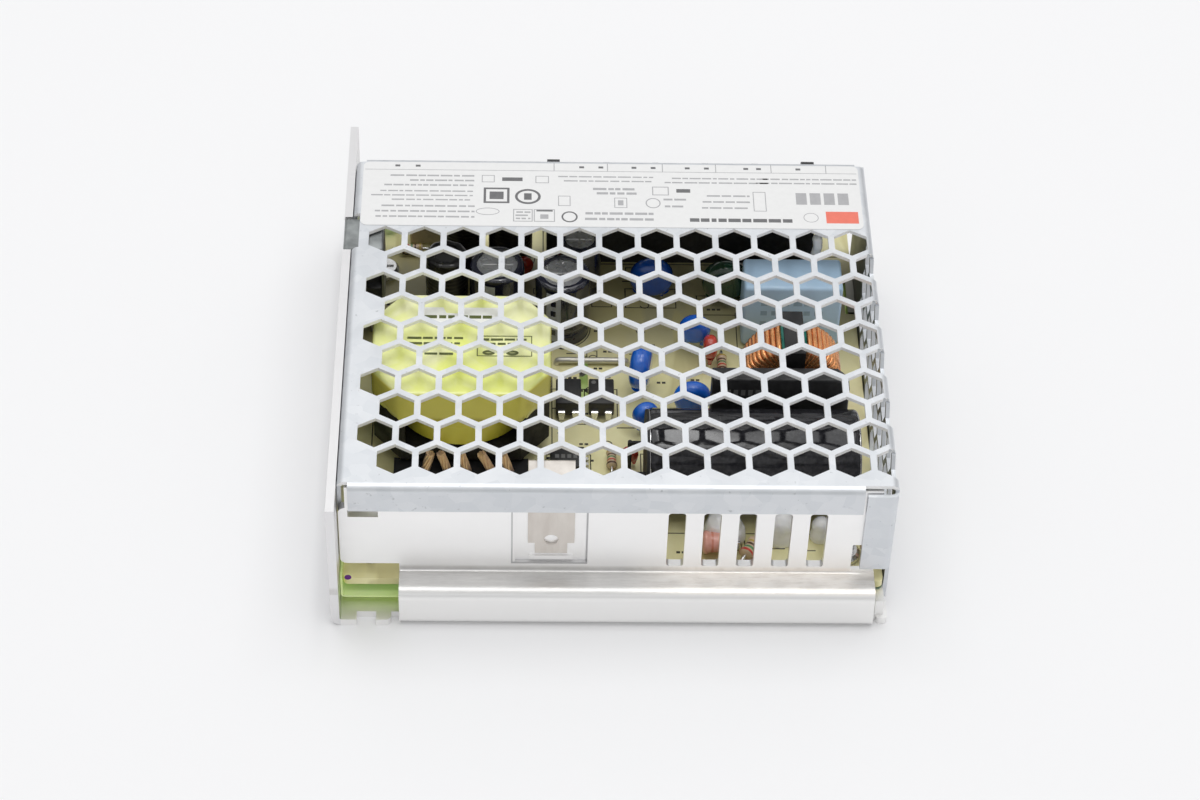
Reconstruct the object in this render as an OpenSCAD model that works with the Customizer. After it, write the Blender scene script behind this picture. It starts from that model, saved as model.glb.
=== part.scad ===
// Enclosed switching power supply with a folded, hexagonally perforated cover.
// Origin at the centre of the footprint on the standing surface; +X towards the
// perforated side wall, +Y towards the terminals, +Z up. All lengths in mm.

/* [Case] */
// Width across the two side walls
case_w = 97; // [96:0.5:104]
// Length from the stepped rear wall to the terminal end
case_l = 99; // [98:0.5:106]
// Height to the top of the cover
case_h = 30; // [29.5:0.5:34]
// Thickness of the aluminium chassis sheet
base_t = 1.5; // [1.3:0.1:1.6]
// Inside radius of the chassis bends
base_bend = 0.4; // [0.3:0.1:0.6]
// Thickness of the galvanised cover sheet
cover_t = 0.7; // [0.6:0.1:0.8]
// Inside radius of the cover bends
cover_bend = 0.6; // [0.4:0.1:0.8]
// Gap between sheets that lie against each other
fit_gap = 0.1; // [0.05:0.05:0.15]

/* [Stepped rear wall] */
// Height of the lower rear wall, up to the top of its step
step_h = 8.5; // [8.5:0.1:9.5]
// Depth of the step
step_d = 5.5; // [5:0.1:6.5]
// Distance from the left side to the left end of the step
step_left = 11.85; // [11:0.1:14]
// Distance from the right side to the right end of the step
step_right = 2.7; // [2.5:0.1:4]
// Number of vent slots
vent_count = 5; // [3:1:5]
// Width of a vent slot
vent_w = 3; // [2:0.1:3.6]
// Distance between vent slots
vent_pitch = 6.07; // [5:0.01:6.2]
// Distance from the right side to the last vent slot
vent_right = 13.2; // [12:0.1:14]
// Lower end of the vent slots above the top of the step
vent_foot = 1.4; // [1:0.1:2]
// Height of a vent slot
vent_h = 13.4; // [10:0.1:13.8]

/* [Cover] */
// Length of the top between its two bends, terminal end to rear flange
cover_l = 84.7; // [83:0.1:85.2]
// Height of the rear flange
flange_h = 5.8; // [4:0.1:6.4]
// Height of the terminal-end flange
lip_h = 6; // [3:0.1:6.4]
// Height of the inner flange along the left side wall
inner_flange_h = 7.2; // [6.8:0.1:8]
// Width of the corner tab
tab_w = 5.4; // [4:0.1:6]

/* [Perforation] */
// Distance between neighbouring holes along a row
mesh_pitch = 7.1; // [6.8:0.1:7.6]
// Width of a hexagonal hole across its flats
mesh_hole = 6; // [5:0.1:6.2]
// Number of rows
mesh_rows = 10; // [6:1:10]
// Distance from the rear flange to the middle of the first row
mesh_rear = 6.8; // [6.5:0.1:7.5]
// Distance from the left side to the first hole of the odd rows
mesh_left = 7.7; // [7.5:0.1:9]
// Lowest middle of a hole in the side wall
mesh_low = 8; // [8:0.5:14]

/* [Board] */
// Height of the board's top above the standing surface
board_top = 6.9; // [6.8:0.1:6.9]
// Thickness of the board
board_t = 1.6; // [1.2:0.1:1.6]
// Thickness of the insulation sheet
film_t = 0.3; // [0.2:0.05:0.4]
// Diameter of the board's standoffs
standoff_d = 5; // [4.5:0.1:6]

/* [Mounting] */
// Tapped bore of the M3 mounting holes
m3_bore = 2.5; // [2.4:0.05:2.6]
// Height of the extruded collar of a mounting hole
collar_h = 1.5; // [1:0.1:1.6]
// Distance between the base's mounting holes across the case
mount_x = 74; // [70:0.5:76]
// Distance between the mounting holes along the case
mount_y = 55; // [50:0.5:58]
// Height of the side wall's mounting holes
mount_z = 15; // [14:0.5:17]

/* [Terminals] */
// Number of terminals
terminal_count = 5; // [5:1:5]
// Distance between terminals
terminal_pitch = 9.5; // [9:0.1:9.8]
// Thickness of the barriers between terminals
barrier_t = 1.2; // [1:0.1:1.4]
// Thickness of the two end walls of the terminal block
end_wall_t = 2.4; // [2:0.1:2.6]
// Depth of the terminal block
block_d = 12.2; // [12:0.1:13]
// Height of the block's end walls above the board
block_h = 16.2; // [15.6:0.1:16.4]
// Height of the block's floor above the board
block_floor = 6.2; // [5.8:0.1:6.4]
// Thickness of the contact plates
contact_t = 0.9; // [0.8:0.1:1]
// Diameter of the terminal screws
screw_d = 3.4; // [3.2:0.1:3.5]
// Diameter of the terminal screw heads
screw_head_d = 6.2; // [5.8:0.1:6.6]
// Radial clearance of the terminal screws in their threads
screw_fit = 0.05; // [0.03:0.01:0.08]

/* [Capacitors] */
// Diameter of the bulk capacitor
bulk_d = 18; // [16:0.5:18]
// Diameter of the output capacitors
output_d = 10.2; // [8:0.2:10.4]
// Height of the output capacitors
output_h = 14.5; // [12:0.5:18]
// Thickness of the plastic sleeves
sleeve_t = 0.25; // [0.2:0.05:0.3]
// Height of the suppression capacitor
film_cap_h = 15; // [12:0.5:16]

/* [Clips] */
// Thickness of the spring clips
clip_t = 0.45; // [0.4:0.05:0.5]
// Width of the spring clips
clip_w = 8; // [7:0.2:9]

/* [Hidden] */

$fn = 48;
eps = 0.01;

// Sides and ends of the case, outside and inside
left_out = -case_w / 2;
left_in = left_out + base_t;
right_out = case_w / 2;
right_in = right_out - cover_t;
rear_out = -case_l / 2;
front_out = case_l / 2;
// Centre-line radii of the bends, and the length that each takes from a flat
base_rc = base_bend + base_t / 2;
base_zone = base_rc + base_t / 2;
cover_rc = cover_bend + cover_t / 2;
cover_zone = cover_rc + cover_t / 2;
// Upper rear wall and the cover sheets that lie on it
wall_out = rear_out + step_d;
wall_in = wall_out + base_t;
wall_top = case_h - cover_t - 0.3;
flange_out = wall_out - fit_gap - cover_t;
cover_end = flange_out + cover_l;
ceiling = case_h - cover_t;
// The chassis's own flange under the perforated side wall. It stays below the board,
// but for an ear that takes the cover's screw
side_flange_out = right_in - fit_gap;
side_flange_in = side_flange_out - base_t;
side_flange_h = 7;
flange_low = board_top - board_t - 0.3;
ear_w = 9;
// Board outline, and the line inside which tall parts stand
board_x0 = left_in + 0.5;
board_edge = side_flange_out - 0.15;
board_x1 = side_flange_in - 0.5;
board_y0 = wall_out - 0.6;
board_y1 = front_out - 0.5;
film_z = base_t + collar_h;
// Counts and places of the terminals
block_w = terminal_count * terminal_pitch - barrier_t + 2 * end_wall_t;
block_x0 = right_out - 8.5 - block_w;
block_y1 = front_out - 0.8;
block_y0 = block_y1 - block_d;
contact_y0 = block_y0 + 2.3;
contact_y1 = block_y1 - 1.2;
screw_y = (contact_y0 + contact_y1) / 2 + 0.5;
contact_z = board_top + block_floor;
clamp_z = contact_z + contact_t;
clamp_t = 0.8;
screw_z = clamp_z + clamp_t;
// Places of the two clipped power devices
mosfet_x = left_out + 38.05;
diode_y = mount_y / 2 - 7.9;
device_w = 10;
device_t = 4.6;
tab_t = 1.3;
pad_t = 0.3;
pad_w = 12.5;
under_flange = ceiling - inner_flange_h - 0.2;
pad_push = clip_t + 0.05;
pad_foot = 10.7;
clip_notch = ceiling - 0.9;

// Places on the board are shares of the case's width and length from its middle,
// so that neighbours keep clear of each other in a larger or smaller case
function spot(u, v) = [u * case_w, v * case_l];
trafo_at = spot(-0.2722, -0.0677);
trafo_l = 0.33 * case_w;
trafo_w = 0.2586 * case_l;
trafo_h = ceiling - board_top - 2.4;
bulk_at = spot(0.2572, -0.2434);
bulk_l = 0.3866 * case_w;
bridge_at = spot(0.3134, -0.1172);
choke_at = spot(0.3412, -0.0263);
choke_d = ceiling - board_top - 3.4;
film_cap_at = spot(0.3546, 0.1788);
film_cap_l = 0.1876 * case_w;
film_cap_w = 0.0848 * case_l;
fuse_at = spot(0.2722, 0.3152);
inductor_at = spot(-0.3072, 0.2273);
filter_at = [spot(-0.2784, 0.3788), spot(-0.1856, 0.3788)];
output_at = [spot(-0.2103, 0.204), spot(-0.0845, 0.1818), spot(-0.0515, 0.2869)];
optocoupler_at = [spot(-0.0732, -0.0263), spot(-0.0113, -0.0263)];
controller_at = spot(-0.0763, -0.1808);

// ---------------------------------------------------------------- helpers

// Rectangle with rounded corners, from its lower corner
module round_rect(size, r) {
    translate([r, 0]) square([size[0] - 2 * r, size[1]]);
    translate([0, r]) square([size[0], size[1] - 2 * r]);
    for (x = [r, size[0] - r], y = [r, size[1] - r]) translate([x, y]) circle(r);
}

// Upright block with rounded vertical edges, centred on x and y
module round_block(size, r) {
    translate([-size[0] / 2, -size[1] / 2, 0])
        linear_extrude(size[2]) round_rect([size[0], size[1]], r);
}

// Upright block centred on x and y
module block(size) {
    translate([-size[0] / 2, -size[1] / 2, 0]) cube(size);
}

// Tube standing on its end
module tube(r_out, r_in, h) {
    difference() {
        cylinder(r = r_out, h = h);
        translate([0, 0, -1]) cylinder(r = r_in, h = h + 2);
    }
}

// Quarter ring of a bend around c, in the quadrant that q points to
module quarter_ring(c, q, r, t) {
    translate(c) intersection() {
        difference() {
            circle(r + t / 2);
            circle(r - t / 2);
        }
        scale([q[0], q[1]]) square(r + t);
    }
}

// Cross-section of a sheet bent at right angles along a centre line
module bent_strip(path, t, r) {
    last = len(path) - 2;
    way = [for (i = [0:last]) let (d = path[i + 1] - path[i]) d / norm(d)];
    for (i = [0:last]) {
        a = path[i] + (i > 0 ? r : 0) * way[i];
        b = path[i + 1] - (i < last ? r : 0) * way[i];
        low = [min(a[0], b[0]), min(a[1], b[1])] - t / 2 * [abs(way[i][1]), abs(way[i][0])];
        high = [max(a[0], b[0]), max(a[1], b[1])] + t / 2 * [abs(way[i][1]), abs(way[i][0])];
        if (norm(b - a) > eps) translate(low) square(high - low);
    }
    for (i = [1:last])
        quarter_ring(path[i] - r * way[i - 1] + r * way[i], way[i - 1] - way[i], r, t);
}

// Turns an outline drawn in x, z into a solid from y0 to y1
module along_y(y0, y1) {
    translate([0, y1, 0]) rotate([90, 0, 0]) linear_extrude(y1 - y0) children();
}

// Turns an outline drawn in y, z into a solid from x0 to x1
module along_x(x0, x1) {
    translate([x0, 0, 0]) rotate([90, 0, 90]) linear_extrude(x1 - x0) children();
}

// Cross recess for a driver, cut down from z = 0
module cross_recess(w, depth) {
    for (a = [0, 90]) rotate(a) translate([-w / 2, -w / 9, -depth]) cube([w, w / 4.5, depth + 1]);
}

// Pan-head screw: the head stands on z = 0 and the shank hangs below it
module pan_screw(d, head_d, head_h, length) {
    difference() {
        union() {
            cylinder(d = head_d, h = head_h * 0.6);
            translate([0, 0, head_h * 0.6]) cylinder(d1 = head_d, d2 = head_d * 0.8, h = head_h * 0.4);
            translate([0, 0, -length]) cylinder(d = d, h = length);
        }
        translate([0, 0, head_h]) cross_recess(head_d * 0.6, head_h * 0.6);
    }
}

// Countersunk screw: its flat face is at z = 0 and the rest hangs below it
csk_head = 5.4;
csk_depth = 1.5;
module countersunk_screw(length) {
    difference() {
        union() {
            translate([0, 0, -csk_depth]) cylinder(d1 = m3_bore - 0.1, d2 = csk_head, h = csk_depth);
            translate([0, 0, -length]) cylinder(d = m3_bore - 0.1, h = length - csk_depth);
        }
        cross_recess(3, 0.9);
    }
}

module countersink() {
    translate([0, 0, -csk_depth]) cylinder(d1 = m3_bore + 0.1, d2 = csk_head + 0.2, h = csk_depth);
    cylinder(d = csk_head + 0.2, h = 1);
    translate([0, 0, -6]) cylinder(d = m3_bore, h = 6);
}

// Places a screw in each side: the left one in the side wall, the right one in the cover
cover_screw_y = mount_y / 2;
left_screw_z = ceiling - 3.6;
right_screw_z = 4.2;
module at_cover_screws() {
    translate([left_out, cover_screw_y, left_screw_z]) rotate([0, -90, 0]) children();
    translate([right_out, cover_screw_y, right_screw_z]) rotate([0, 90, 0]) children();
}

// ---------------------------------------------------------------- chassis

module side_profile() {
    bent_strip([[left_out + base_t / 2, wall_top + 0.2], [left_out + base_t / 2, base_t / 2],
        [side_flange_out - base_t / 2, base_t / 2], [side_flange_out - base_t / 2, side_flange_h]],
        base_t, base_rc);
}

module rear_profile() {
    bent_strip([[rear_out + base_zone + 2, base_t / 2], [rear_out + base_t / 2, base_t / 2],
        [rear_out + base_t / 2, step_h - base_t / 2], [wall_out + base_t / 2, step_h - base_t / 2],
        [wall_out + base_t / 2, wall_top]], base_t, base_rc);
}

// Left piece of the upper rear wall, whose foot is free over the lug's cut-out
wall_left = left_in + 0.2;
wall_foot = step_h + 1.6;
module rear_wall_left() {
    corner = 1.2;
    along_y(wall_out, wall_in) {
        translate([wall_left, wall_foot]) round_rect([6, 14], corner);
        translate([wall_left + corner, wall_foot])
            square([left_out + step_left - wall_left - corner, wall_top - wall_foot]);
    }
}

module lugs() {
    lug_edge = left_out + step_left - 1.45;
    // Left lug, with an open notch for a screw
    difference() {
        union() {
            translate([left_out + base_t, rear_out, 0])
                cube([lug_edge - left_in - 1, base_zone + 2, base_t]);
            translate([lug_edge - 3, rear_out + 1, 0]) cube([3, base_zone + 1, base_t]);
            translate([lug_edge - 1, rear_out + 1, 0]) cylinder(r = 1, h = base_t);
        }
        translate([left_out + 6.1, rear_out + 2.1, -1]) cylinder(r = 1.7, h = base_t + 2);
        translate([left_out + 4.4, rear_out - 1, -1]) cube([3.4, 3.1, base_t + 2]);
    }
    // Plain right lug under the cover's corner
    translate([right_out - step_right + 0.6, rear_out + 1, 0])
        linear_extrude(base_t) round_rect([step_right - 0.6, base_zone + 3], 0.9);
}

// Pushed-in pad behind a spring clip. Above z_narrow it is only as wide as the clip.
clip_room = clip_w + 0.8;
module clip_pad(z_narrow) {
    translate([-pad_w / 2, base_t, pad_foot]) cube([pad_w, pad_push, z_narrow - pad_foot]);
    translate([-clip_room / 2, base_t, pad_foot]) cube([clip_room, pad_push, clip_notch - pad_foot]);
}

module clip_pad_cut(z_narrow) {
    translate([-pad_w / 2, -1, pad_foot]) cube([pad_w, 1 + pad_push, z_narrow - pad_foot]);
    translate([-clip_room / 2, -1, pad_foot]) cube([clip_room, 1 + pad_push, case_h]);
    translate([-clip_room / 2, -1, clip_notch]) cube([clip_room, 4, case_h]);
}

// Raised rib in the pad, just under the clip's end
module clip_stop() {
    translate([-pad_w * 0.3, 0.15, pad_foot + 0.55]) cube([pad_w * 0.6, base_t, 0.9]);
}

module at_rear_clip() { translate([mosfet_x, wall_out, 0]) children(); }
module at_left_clip() { translate([left_out, diode_y, 0]) rotate(-90) children(); }

module at_base_mounts() {
    for (x = [-1, 1] * mount_x / 2, y = [-1, 1] * mount_y / 2) translate([x, y, 0]) children();
}

module at_side_mounts() {
    for (y = [-1, 1] * mount_y / 2) translate([left_out, y, mount_z]) rotate([0, 90, 0]) children();
}

module vent_slot() {
    linear_extrude(4) round_rect([vent_w, vent_h], 0.6);
}

module chassis() {
    color("gainsboro") difference() {
        union() {
            along_y(rear_out + base_zone, front_out) side_profile();
            // The left wall runs on to the rear end, past the rear wall
            along_y(rear_out, rear_out + base_zone)
                intersection() {
                    side_profile();
                    translate([left_out - 1, -1]) square([base_t + 1, case_h + 2]);
                }
            along_y(rear_out, rear_out + base_zone)
                intersection() {
                    side_profile();
                    translate([left_out, 0]) square([base_zone + 1, base_t + base_zone]);
                }
            along_x(left_out + step_left, right_out - step_right) rear_profile();
            rear_wall_left();
            lugs();
            at_rear_clip() clip_pad(clip_notch);
            at_left_clip() clip_pad(under_flange);
            at_base_mounts() cylinder(r = m3_bore / 2 + 0.9, h = base_t + collar_h);
            at_side_mounts() cylinder(r = m3_bore / 2 + 0.9, h = base_t + collar_h);
        }
        at_rear_clip() clip_pad_cut(clip_notch);
        at_left_clip() clip_pad_cut(under_flange);
        for (y = [[rear_out, cover_screw_y - ear_w / 2], [cover_screw_y + ear_w / 2, front_out + 1]])
            translate([side_flange_in - 0.05, y[0], flange_low]) cube([base_t + 0.1, y[1] - y[0], 4]);
        at_base_mounts() translate([0, 0, -1]) cylinder(d = m3_bore, h = 8);
        at_side_mounts() translate([0, 0, -1]) cylinder(d = m3_bore, h = 8);
        at_cover_screws() countersink();
        for (i = [0:vent_count - 1])
            translate([right_out - vent_right - vent_w / 2 - i * vent_pitch, wall_in + 1,
                step_h + vent_foot]) rotate([90, 0, 0]) vent_slot();
        // Hook slot under the left end of the cover's rear flange
        translate([left_in + 1.8, wall_out - 1, ceiling - 7.4]) cube([5.2, 4, 1.7]);
        // Notch low down at the right end of the upper rear wall
        translate([right_out - 6.9, wall_out - eps, step_h + eps]) cube([8, 4, 7.1]);
    }
    color("gainsboro") {
        at_rear_clip() clip_stop();
        at_left_clip() clip_stop();
    }
}

// ---------------------------------------------------------------- cover

row_pitch = mesh_pitch * sin(60);
cover_x0 = left_in + fit_gap;
top_x0 = cover_x0 + cover_zone;
top_x1 = right_out - cover_zone;
top_y0 = flange_out + cover_zone;
top_y1 = cover_end - cover_zone;
side_top = case_h - cover_zone;
side_foot = base_t + fit_gap;
bend_length = cover_rc * PI / 2;
// Middles of the holes in one row, measured across the flat sheet
function row_y(r) = flange_out + mesh_rear + r * row_pitch;
function row_x0(r) = left_out + mesh_left + (r % 2 == 0 ? mesh_pitch / 2 : 0);
row_end = top_x1 + bend_length + side_top - mesh_low;
function row_holes(r) = [for (x = [row_x0(r):mesh_pitch:row_end]) x];
// Height in the side wall of a point that lies x across the flat sheet
function side_z(x) = side_top - (x - top_x1 - bend_length);
// A hole reaches into the bend from the top, or from the side wall
function bend_from_top(x) = x + mesh_hole / 2 > top_x1 && x < top_x1 + bend_length * 0.7;
function bend_from_side(x) = x - mesh_hole / 2 < top_x1 + bend_length && x > top_x1 + bend_length * 0.3;

module hex_hole() {
    rotate(30) circle(r = mesh_hole / sqrt(3), $fn = 6);
}

module top_holes() {
    for (r = [0:mesh_rows - 1]) for (x = row_holes(r))
        if (x < top_x1 + mesh_hole / 2) translate([x, row_y(r)]) hex_hole();
}

module side_holes() {
    for (r = [0:mesh_rows - 1]) for (x = row_holes(r))
        if (side_z(x) < side_top + mesh_hole / 2) translate([row_y(r), side_z(x)]) rotate(30) hex_hole();
}

module bend_holes() {
    for (r = [0:mesh_rows - 1]) for (x = row_holes(r)) {
        if (bend_from_top(x)) translate([x, row_y(r), side_top])
            linear_extrude(cover_zone + 1) hex_hole();
        if (bend_from_side(x)) translate([top_x1, row_y(r), side_z(x)])
            rotate([90, 0, 90]) linear_extrude(cover_zone + 1) rotate(30) hex_hole();
    }
}

module clip_slot() {
    translate([cover_x0 - 1, diode_y - clip_w / 2 - 0.6, ceiling - inner_flange_h - 1])
        cube([1 + cover_zone, clip_w + 1.2, inner_flange_h + 4]);
}

module cover_side_wall() {
    difference() {
        along_x(right_out - cover_t, right_out) difference() {
            translate([top_y0, side_foot]) square([cover_end - top_y0, side_top - side_foot]);
            side_holes();
        }
        at_cover_screws() countersink();
    }
    // Corner tab, folded round the rear wall
    tab_z0 = step_h + 1.8;
    translate([0, 0, tab_z0]) linear_extrude(side_top - 0.1 - tab_z0) bent_strip([
        [right_out - cover_t / 2, top_y0], [right_out - cover_t / 2, flange_out + cover_t / 2],
        [right_out - tab_w, flange_out + cover_t / 2]], cover_t, cover_rc);
}

module cover() {
    left_c = cover_x0 + cover_t / 2;
    color("lightsteelblue") {
        difference() {
            union() {
                // Perforated top
                translate([0, 0, ceiling]) linear_extrude(cover_t) difference() {
                    translate([top_x0, top_y0]) square([top_x1 - top_x0, top_y1 - top_y0]);
                    top_holes();
                }
                // Left bend and inner flange
                along_y(top_y0, top_y1) bent_strip([[left_c, ceiling - inner_flange_h],
                    [left_c, case_h - cover_t / 2], [top_x0, case_h - cover_t / 2]], cover_t, cover_rc);
                // Rear flange and terminal-end lip
                along_x(left_out + 3.5, right_out - 5.9) bent_strip([
                    [flange_out + cover_t / 2, case_h - flange_h], [flange_out + cover_t / 2,
                    case_h - cover_t / 2], [top_y0, case_h - cover_t / 2]], cover_t, cover_rc);
                along_x(top_x0 + 0.6, top_x1 - 0.6) bent_strip([
                    [cover_end - cover_t / 2, case_h - lip_h], [cover_end - cover_t / 2,
                    case_h - cover_t / 2], [top_y1, case_h - cover_t / 2]], cover_t, cover_rc);
            }
            clip_slot();
            // Room for the end of the rear wall
            translate([cover_x0 - 1, top_y0 - 1, ceiling - inner_flange_h - 1])
                cube([1 + cover_zone, wall_in + fit_gap - top_y0 + 1, wall_top - ceiling + inner_flange_h + 1]);
            at_cover_screws() countersink();
        }
        difference() {
            along_y(top_y0, top_y1) quarter_ring([top_x1, side_top], [1, 1], cover_rc, cover_t);
            bend_holes();
        }
        cover_side_wall();
    }
}

module cover_screws() {
    color("silver") at_cover_screws() countersunk_screw(base_t + fit_gap + cover_t);
}

module label() {
    foot = row_y(mesh_rows - 1) + 3.6;
    color("white") translate([top_x0 + 0.1, foot, case_h])
        linear_extrude(0.1) round_rect([top_x1 - top_x0 - 0.2, top_y1 - foot - 0.1], 1.2);
}

// ---------------------------------------------------------------- board

module at_standoffs() {
    for (x = [board_x0 + 4.6, board_x1 - 4.6]) {
        translate([x, board_y0 + 6, 0]) children();
        translate([x, board_y1 - 16, 0]) children();
    }
}

module insulation_sheet() {
    side = 0.5;
    film_in = 0.15;
    color("honeydew", 0.6) difference() {
        along_y(board_y0 - 1, board_y1 - 1) bent_strip([
            [left_in + film_in + film_t / 2, film_z + 5.2], [left_in + film_in + film_t / 2, film_z + film_t / 2],
            [side_flange_in - film_in - film_t / 2, film_z + film_t / 2],
            [side_flange_in - film_in - film_t / 2, flange_low]], film_t, side);
        at_standoffs() cylinder(d = standoff_d + 0.6, h = 10);
        translate([left_out, diode_y - pad_w / 2 - 1, film_z + 2]) cube([base_t + 2, pad_w + 2, 20]);
    }
}

module board() {
    color("wheat") difference() {
        translate([board_x0, board_y0, board_top - board_t])
            linear_extrude(board_t) round_rect([board_edge - board_x0, board_y1 - board_y0], 1);
        at_standoffs() cylinder(d = 3.2, h = board_top + 1);
        translate([board_x1, cover_screw_y - ear_w / 2 - 0.4, 0]) cube([5, ear_w + 0.8, board_top + 1]);
        // Isolation slot between the two sides of the transformer
        translate([left_in + 42, -1.2, board_top - board_t - 1])
            linear_extrude(board_t + 2) round_rect([1.6, 12], 0.7);
    }
}

module board_standoffs() {
    color("silver") at_standoffs() translate([0, 0, base_t])
        tube(standoff_d / 2, m3_bore / 2, board_top - board_t - base_t);
}

module board_screws() {
    color("silver") at_standoffs() translate([0, 0, board_top]) pan_screw(m3_bore - 0.1, 5.4, 1.7, 4.5);
}

// ---------------------------------------------------------------- transformer

bobbin_h = 2.4;

// Plan of the transformer: a rectangle with its corners cut off
module trafo_plan(grow) {
    l = trafo_l / 2 + grow;
    w = trafo_w / 2 + grow;
    cl = 5;
    cw = 6;
    polygon([[l, w - cw], [l - cl, w], [cl - l, w], [-l, w - cw], [-l, cw - w], [cl - l, -w],
        [l - cl, -w], [l, cw - w]]);
}

module at_trafo() { translate([trafo_at[0], trafo_at[1], board_top]) children(); }

tape_t = 0.3;
winding_r = trafo_w / 2 - 0.3;
core_z = bobbin_h + 0.8;
core_top = trafo_h - tape_t;

// Ferrite core: end plates joined by two side legs and a round middle leg
core_plate = 3.4;
window_h = core_top - core_z - 2 * core_plate;
middle_leg = 4.5;
module transformer_core() {
    color("darkslategray") at_trafo() difference() {
        translate([0, 0, core_z]) linear_extrude(core_top - core_z) trafo_plan(-tape_t);
        translate([0, 0, core_z + core_plate]) difference() {
            union() {
                cylinder(r = winding_r + 0.3, h = window_h);
                block([trafo_l * 0.62, trafo_w + 2, window_h]);
            }
            translate([0, 0, -1]) cylinder(r = middle_leg, h = window_h + 2);
        }
    }
}

// Stranded leads that fan out from the winding to the pins; each pair gives the
// places of the lower and the upper end along the bobbin
lead_ends = [[-6.8, -5.4], [-1.9, -3.6], [1.6, 0], [6.2, 3.6], [9.2, 7.4]];
lead_d = 1.7;
module fanned_leads(d) {
    rise = bobbin_h + 3.6;
    for (e = lead_ends) translate([e[0], -trafo_w / 2 - 1.3, 0.6])
        rotate([0, atan((e[1] - e[0]) / rise), 0]) cylinder(d = d, h = rise);
}

module transformer_bobbin() {
    color("black") at_trafo() {
        difference() {
            union() {
                // Pin rails at both ends, joined under the core
                for (s = [-1, 1]) translate([0, s * (trafo_w / 2 + 0.6), 0]) block([24, 4, bobbin_h]);
                translate([0, 0, 0.8]) block([14, trafo_w, bobbin_h - 0.8]);
            }
            for (i = [-2:2]) translate([i * 4.4, trafo_w / 2 + 0.6, -1]) cylinder(d = 1, h = bobbin_h + 2);
            fanned_leads(lead_d + 0.1);
        }
        // Tube that carries the winding around the middle leg
        translate([0, 0, core_z + core_plate + 0.1])
            tube(middle_leg + 1.1, middle_leg + 0.15, window_h - 0.2);
    }
}

module transformer_winding() {
    color("olive") at_trafo() translate([0, 0, core_z + core_plate + 0.5])
        tube(winding_r, middle_leg + 1.2, window_h - 1);
}

// Tape over the top and round the upper half of the core
module transformer_tape() {
    color("khaki") at_trafo() difference() {
        translate([0, 0, trafo_h - 7]) linear_extrude(7) trafo_plan(0);
        translate([0, 0, trafo_h - 8]) linear_extrude(8 - tape_t) trafo_plan(-tape_t);
    }
}

module transformer_leads() { color("peru") at_trafo() fanned_leads(lead_d); }

// ---------------------------------------------------------------- capacitors

// Aluminium can of an electrolytic capacitor, with its rolled groove and cross vent
module can(d, h) {
    r = d / 2 - sleeve_t;
    groove = 0.7;
    top = h - sleeve_t;
    difference() {
        rotate_extrude() difference() {
            square([r, top]);
            translate([r, 3]) circle(groove, $fn = 16);
        }
        for (a = [0, 90]) rotate(a) translate([-r * 0.62, -0.15, top - 0.2]) cube([r * 1.24, 0.3, 1]);
    }
}

// Shrunk sleeve around a can, with a lip over the can's rim
module sleeve(d, h) {
    rotate_extrude() {
        translate([d / 2 - sleeve_t, 0.3]) square([sleeve_t, h - 0.3]);
        translate([d / 2 - 1.3, h - sleeve_t]) square([1.3, sleeve_t]);
    }
}

bulk_lead = 2.6;
module at_bulk() {
    translate([bulk_at[0] - bulk_l / 2, bulk_at[1], board_top + bulk_d / 2]) rotate([0, 90, 0]) children();
}

module bulk_capacitor_can() {
    lead_x = bulk_at[0] - bulk_l / 2 - bulk_lead;
    color("silver") {
        at_bulk() can(bulk_d, bulk_l);
        for (s = [-1, 1]) translate([lead_x, bulk_at[1] + s * 3.75, board_top]) {
            translate([0, 0, bulk_d / 2]) rotate([0, 90, 0]) cylinder(d = 0.8, h = bulk_lead);
            cylinder(d = 0.8, h = bulk_d / 2 + 0.4);
        }
    }
}

module bulk_capacitor_sleeve() {
    color("black") at_bulk() sleeve(bulk_d, bulk_l);
}

// The third capacitor is a size smaller
output_sizes = [output_d, output_d, output_d - 2];
module output_capacitor_cans() {
    color("darkgray") for (i = [0:2]) translate([output_at[i][0], output_at[i][1], board_top])
        can(output_sizes[i], output_h - (i == 2 ? 1 : 0));
}

module output_capacitor_sleeves() {
    color("midnightblue") for (i = [0:2]) translate([output_at[i][0], output_at[i][1], board_top])
        sleeve(output_sizes[i], output_h - (i == 2 ? 1 : 0));
}

module film_capacitor() {
    color("lightblue") translate([film_cap_at[0], film_cap_at[1], board_top]) {
        translate([0, 0, 0.4]) round_block([film_cap_l, film_cap_w, film_cap_h - 0.4], 0.5);
        for (s = [-1, 1]) translate([s * (film_cap_l / 2 - 1.6), 0, 0]) cylinder(d = 0.8, h = 0.6);
    }
}

// Disc on two leads, standing on the board and turned about z
module disc(p, turn, d, t, lift) {
    translate([p[0], p[1], board_top]) rotate(turn) {
        translate([0, 0, d / 2 + lift]) rotate([90, 0, 0]) rotate_extrude() {
            translate([0, -t / 2]) square([d / 2 - t / 2, t]);
            translate([d / 2 - t / 2, 0]) intersection() {
                circle(t / 2);
                translate([0, -t]) square([t, 2 * t]);
            }
        }
        for (s = [-1, 1]) translate([s * d / 4, 0, 0]) cylinder(d = 0.6, h = lift + 1.2);
    }
}

module disc_capacitors() {
    color("royalblue") {
        disc(spot(0.0629, 0.0162), 80, 8.2, 3.8, 2);
        disc(spot(0.0701, -0.0909), 20, 5, 3, 2.2);
        disc(spot(0.1588, -0.0505), 0, 7, 3.2, 1.6);
        disc(spot(0.1691, 0.1273), 0, 6, 3.4, 2.4);
    }
}

module varistor() {
    color("mediumblue") disc(spot(0.0897, 0.2667), 0, 8.4, 4, 1.4);
}

module thermistor() {
    color("darkslategray") disc(spot(0.233, 0.2485), 0, 9, 4, 2);
}

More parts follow.
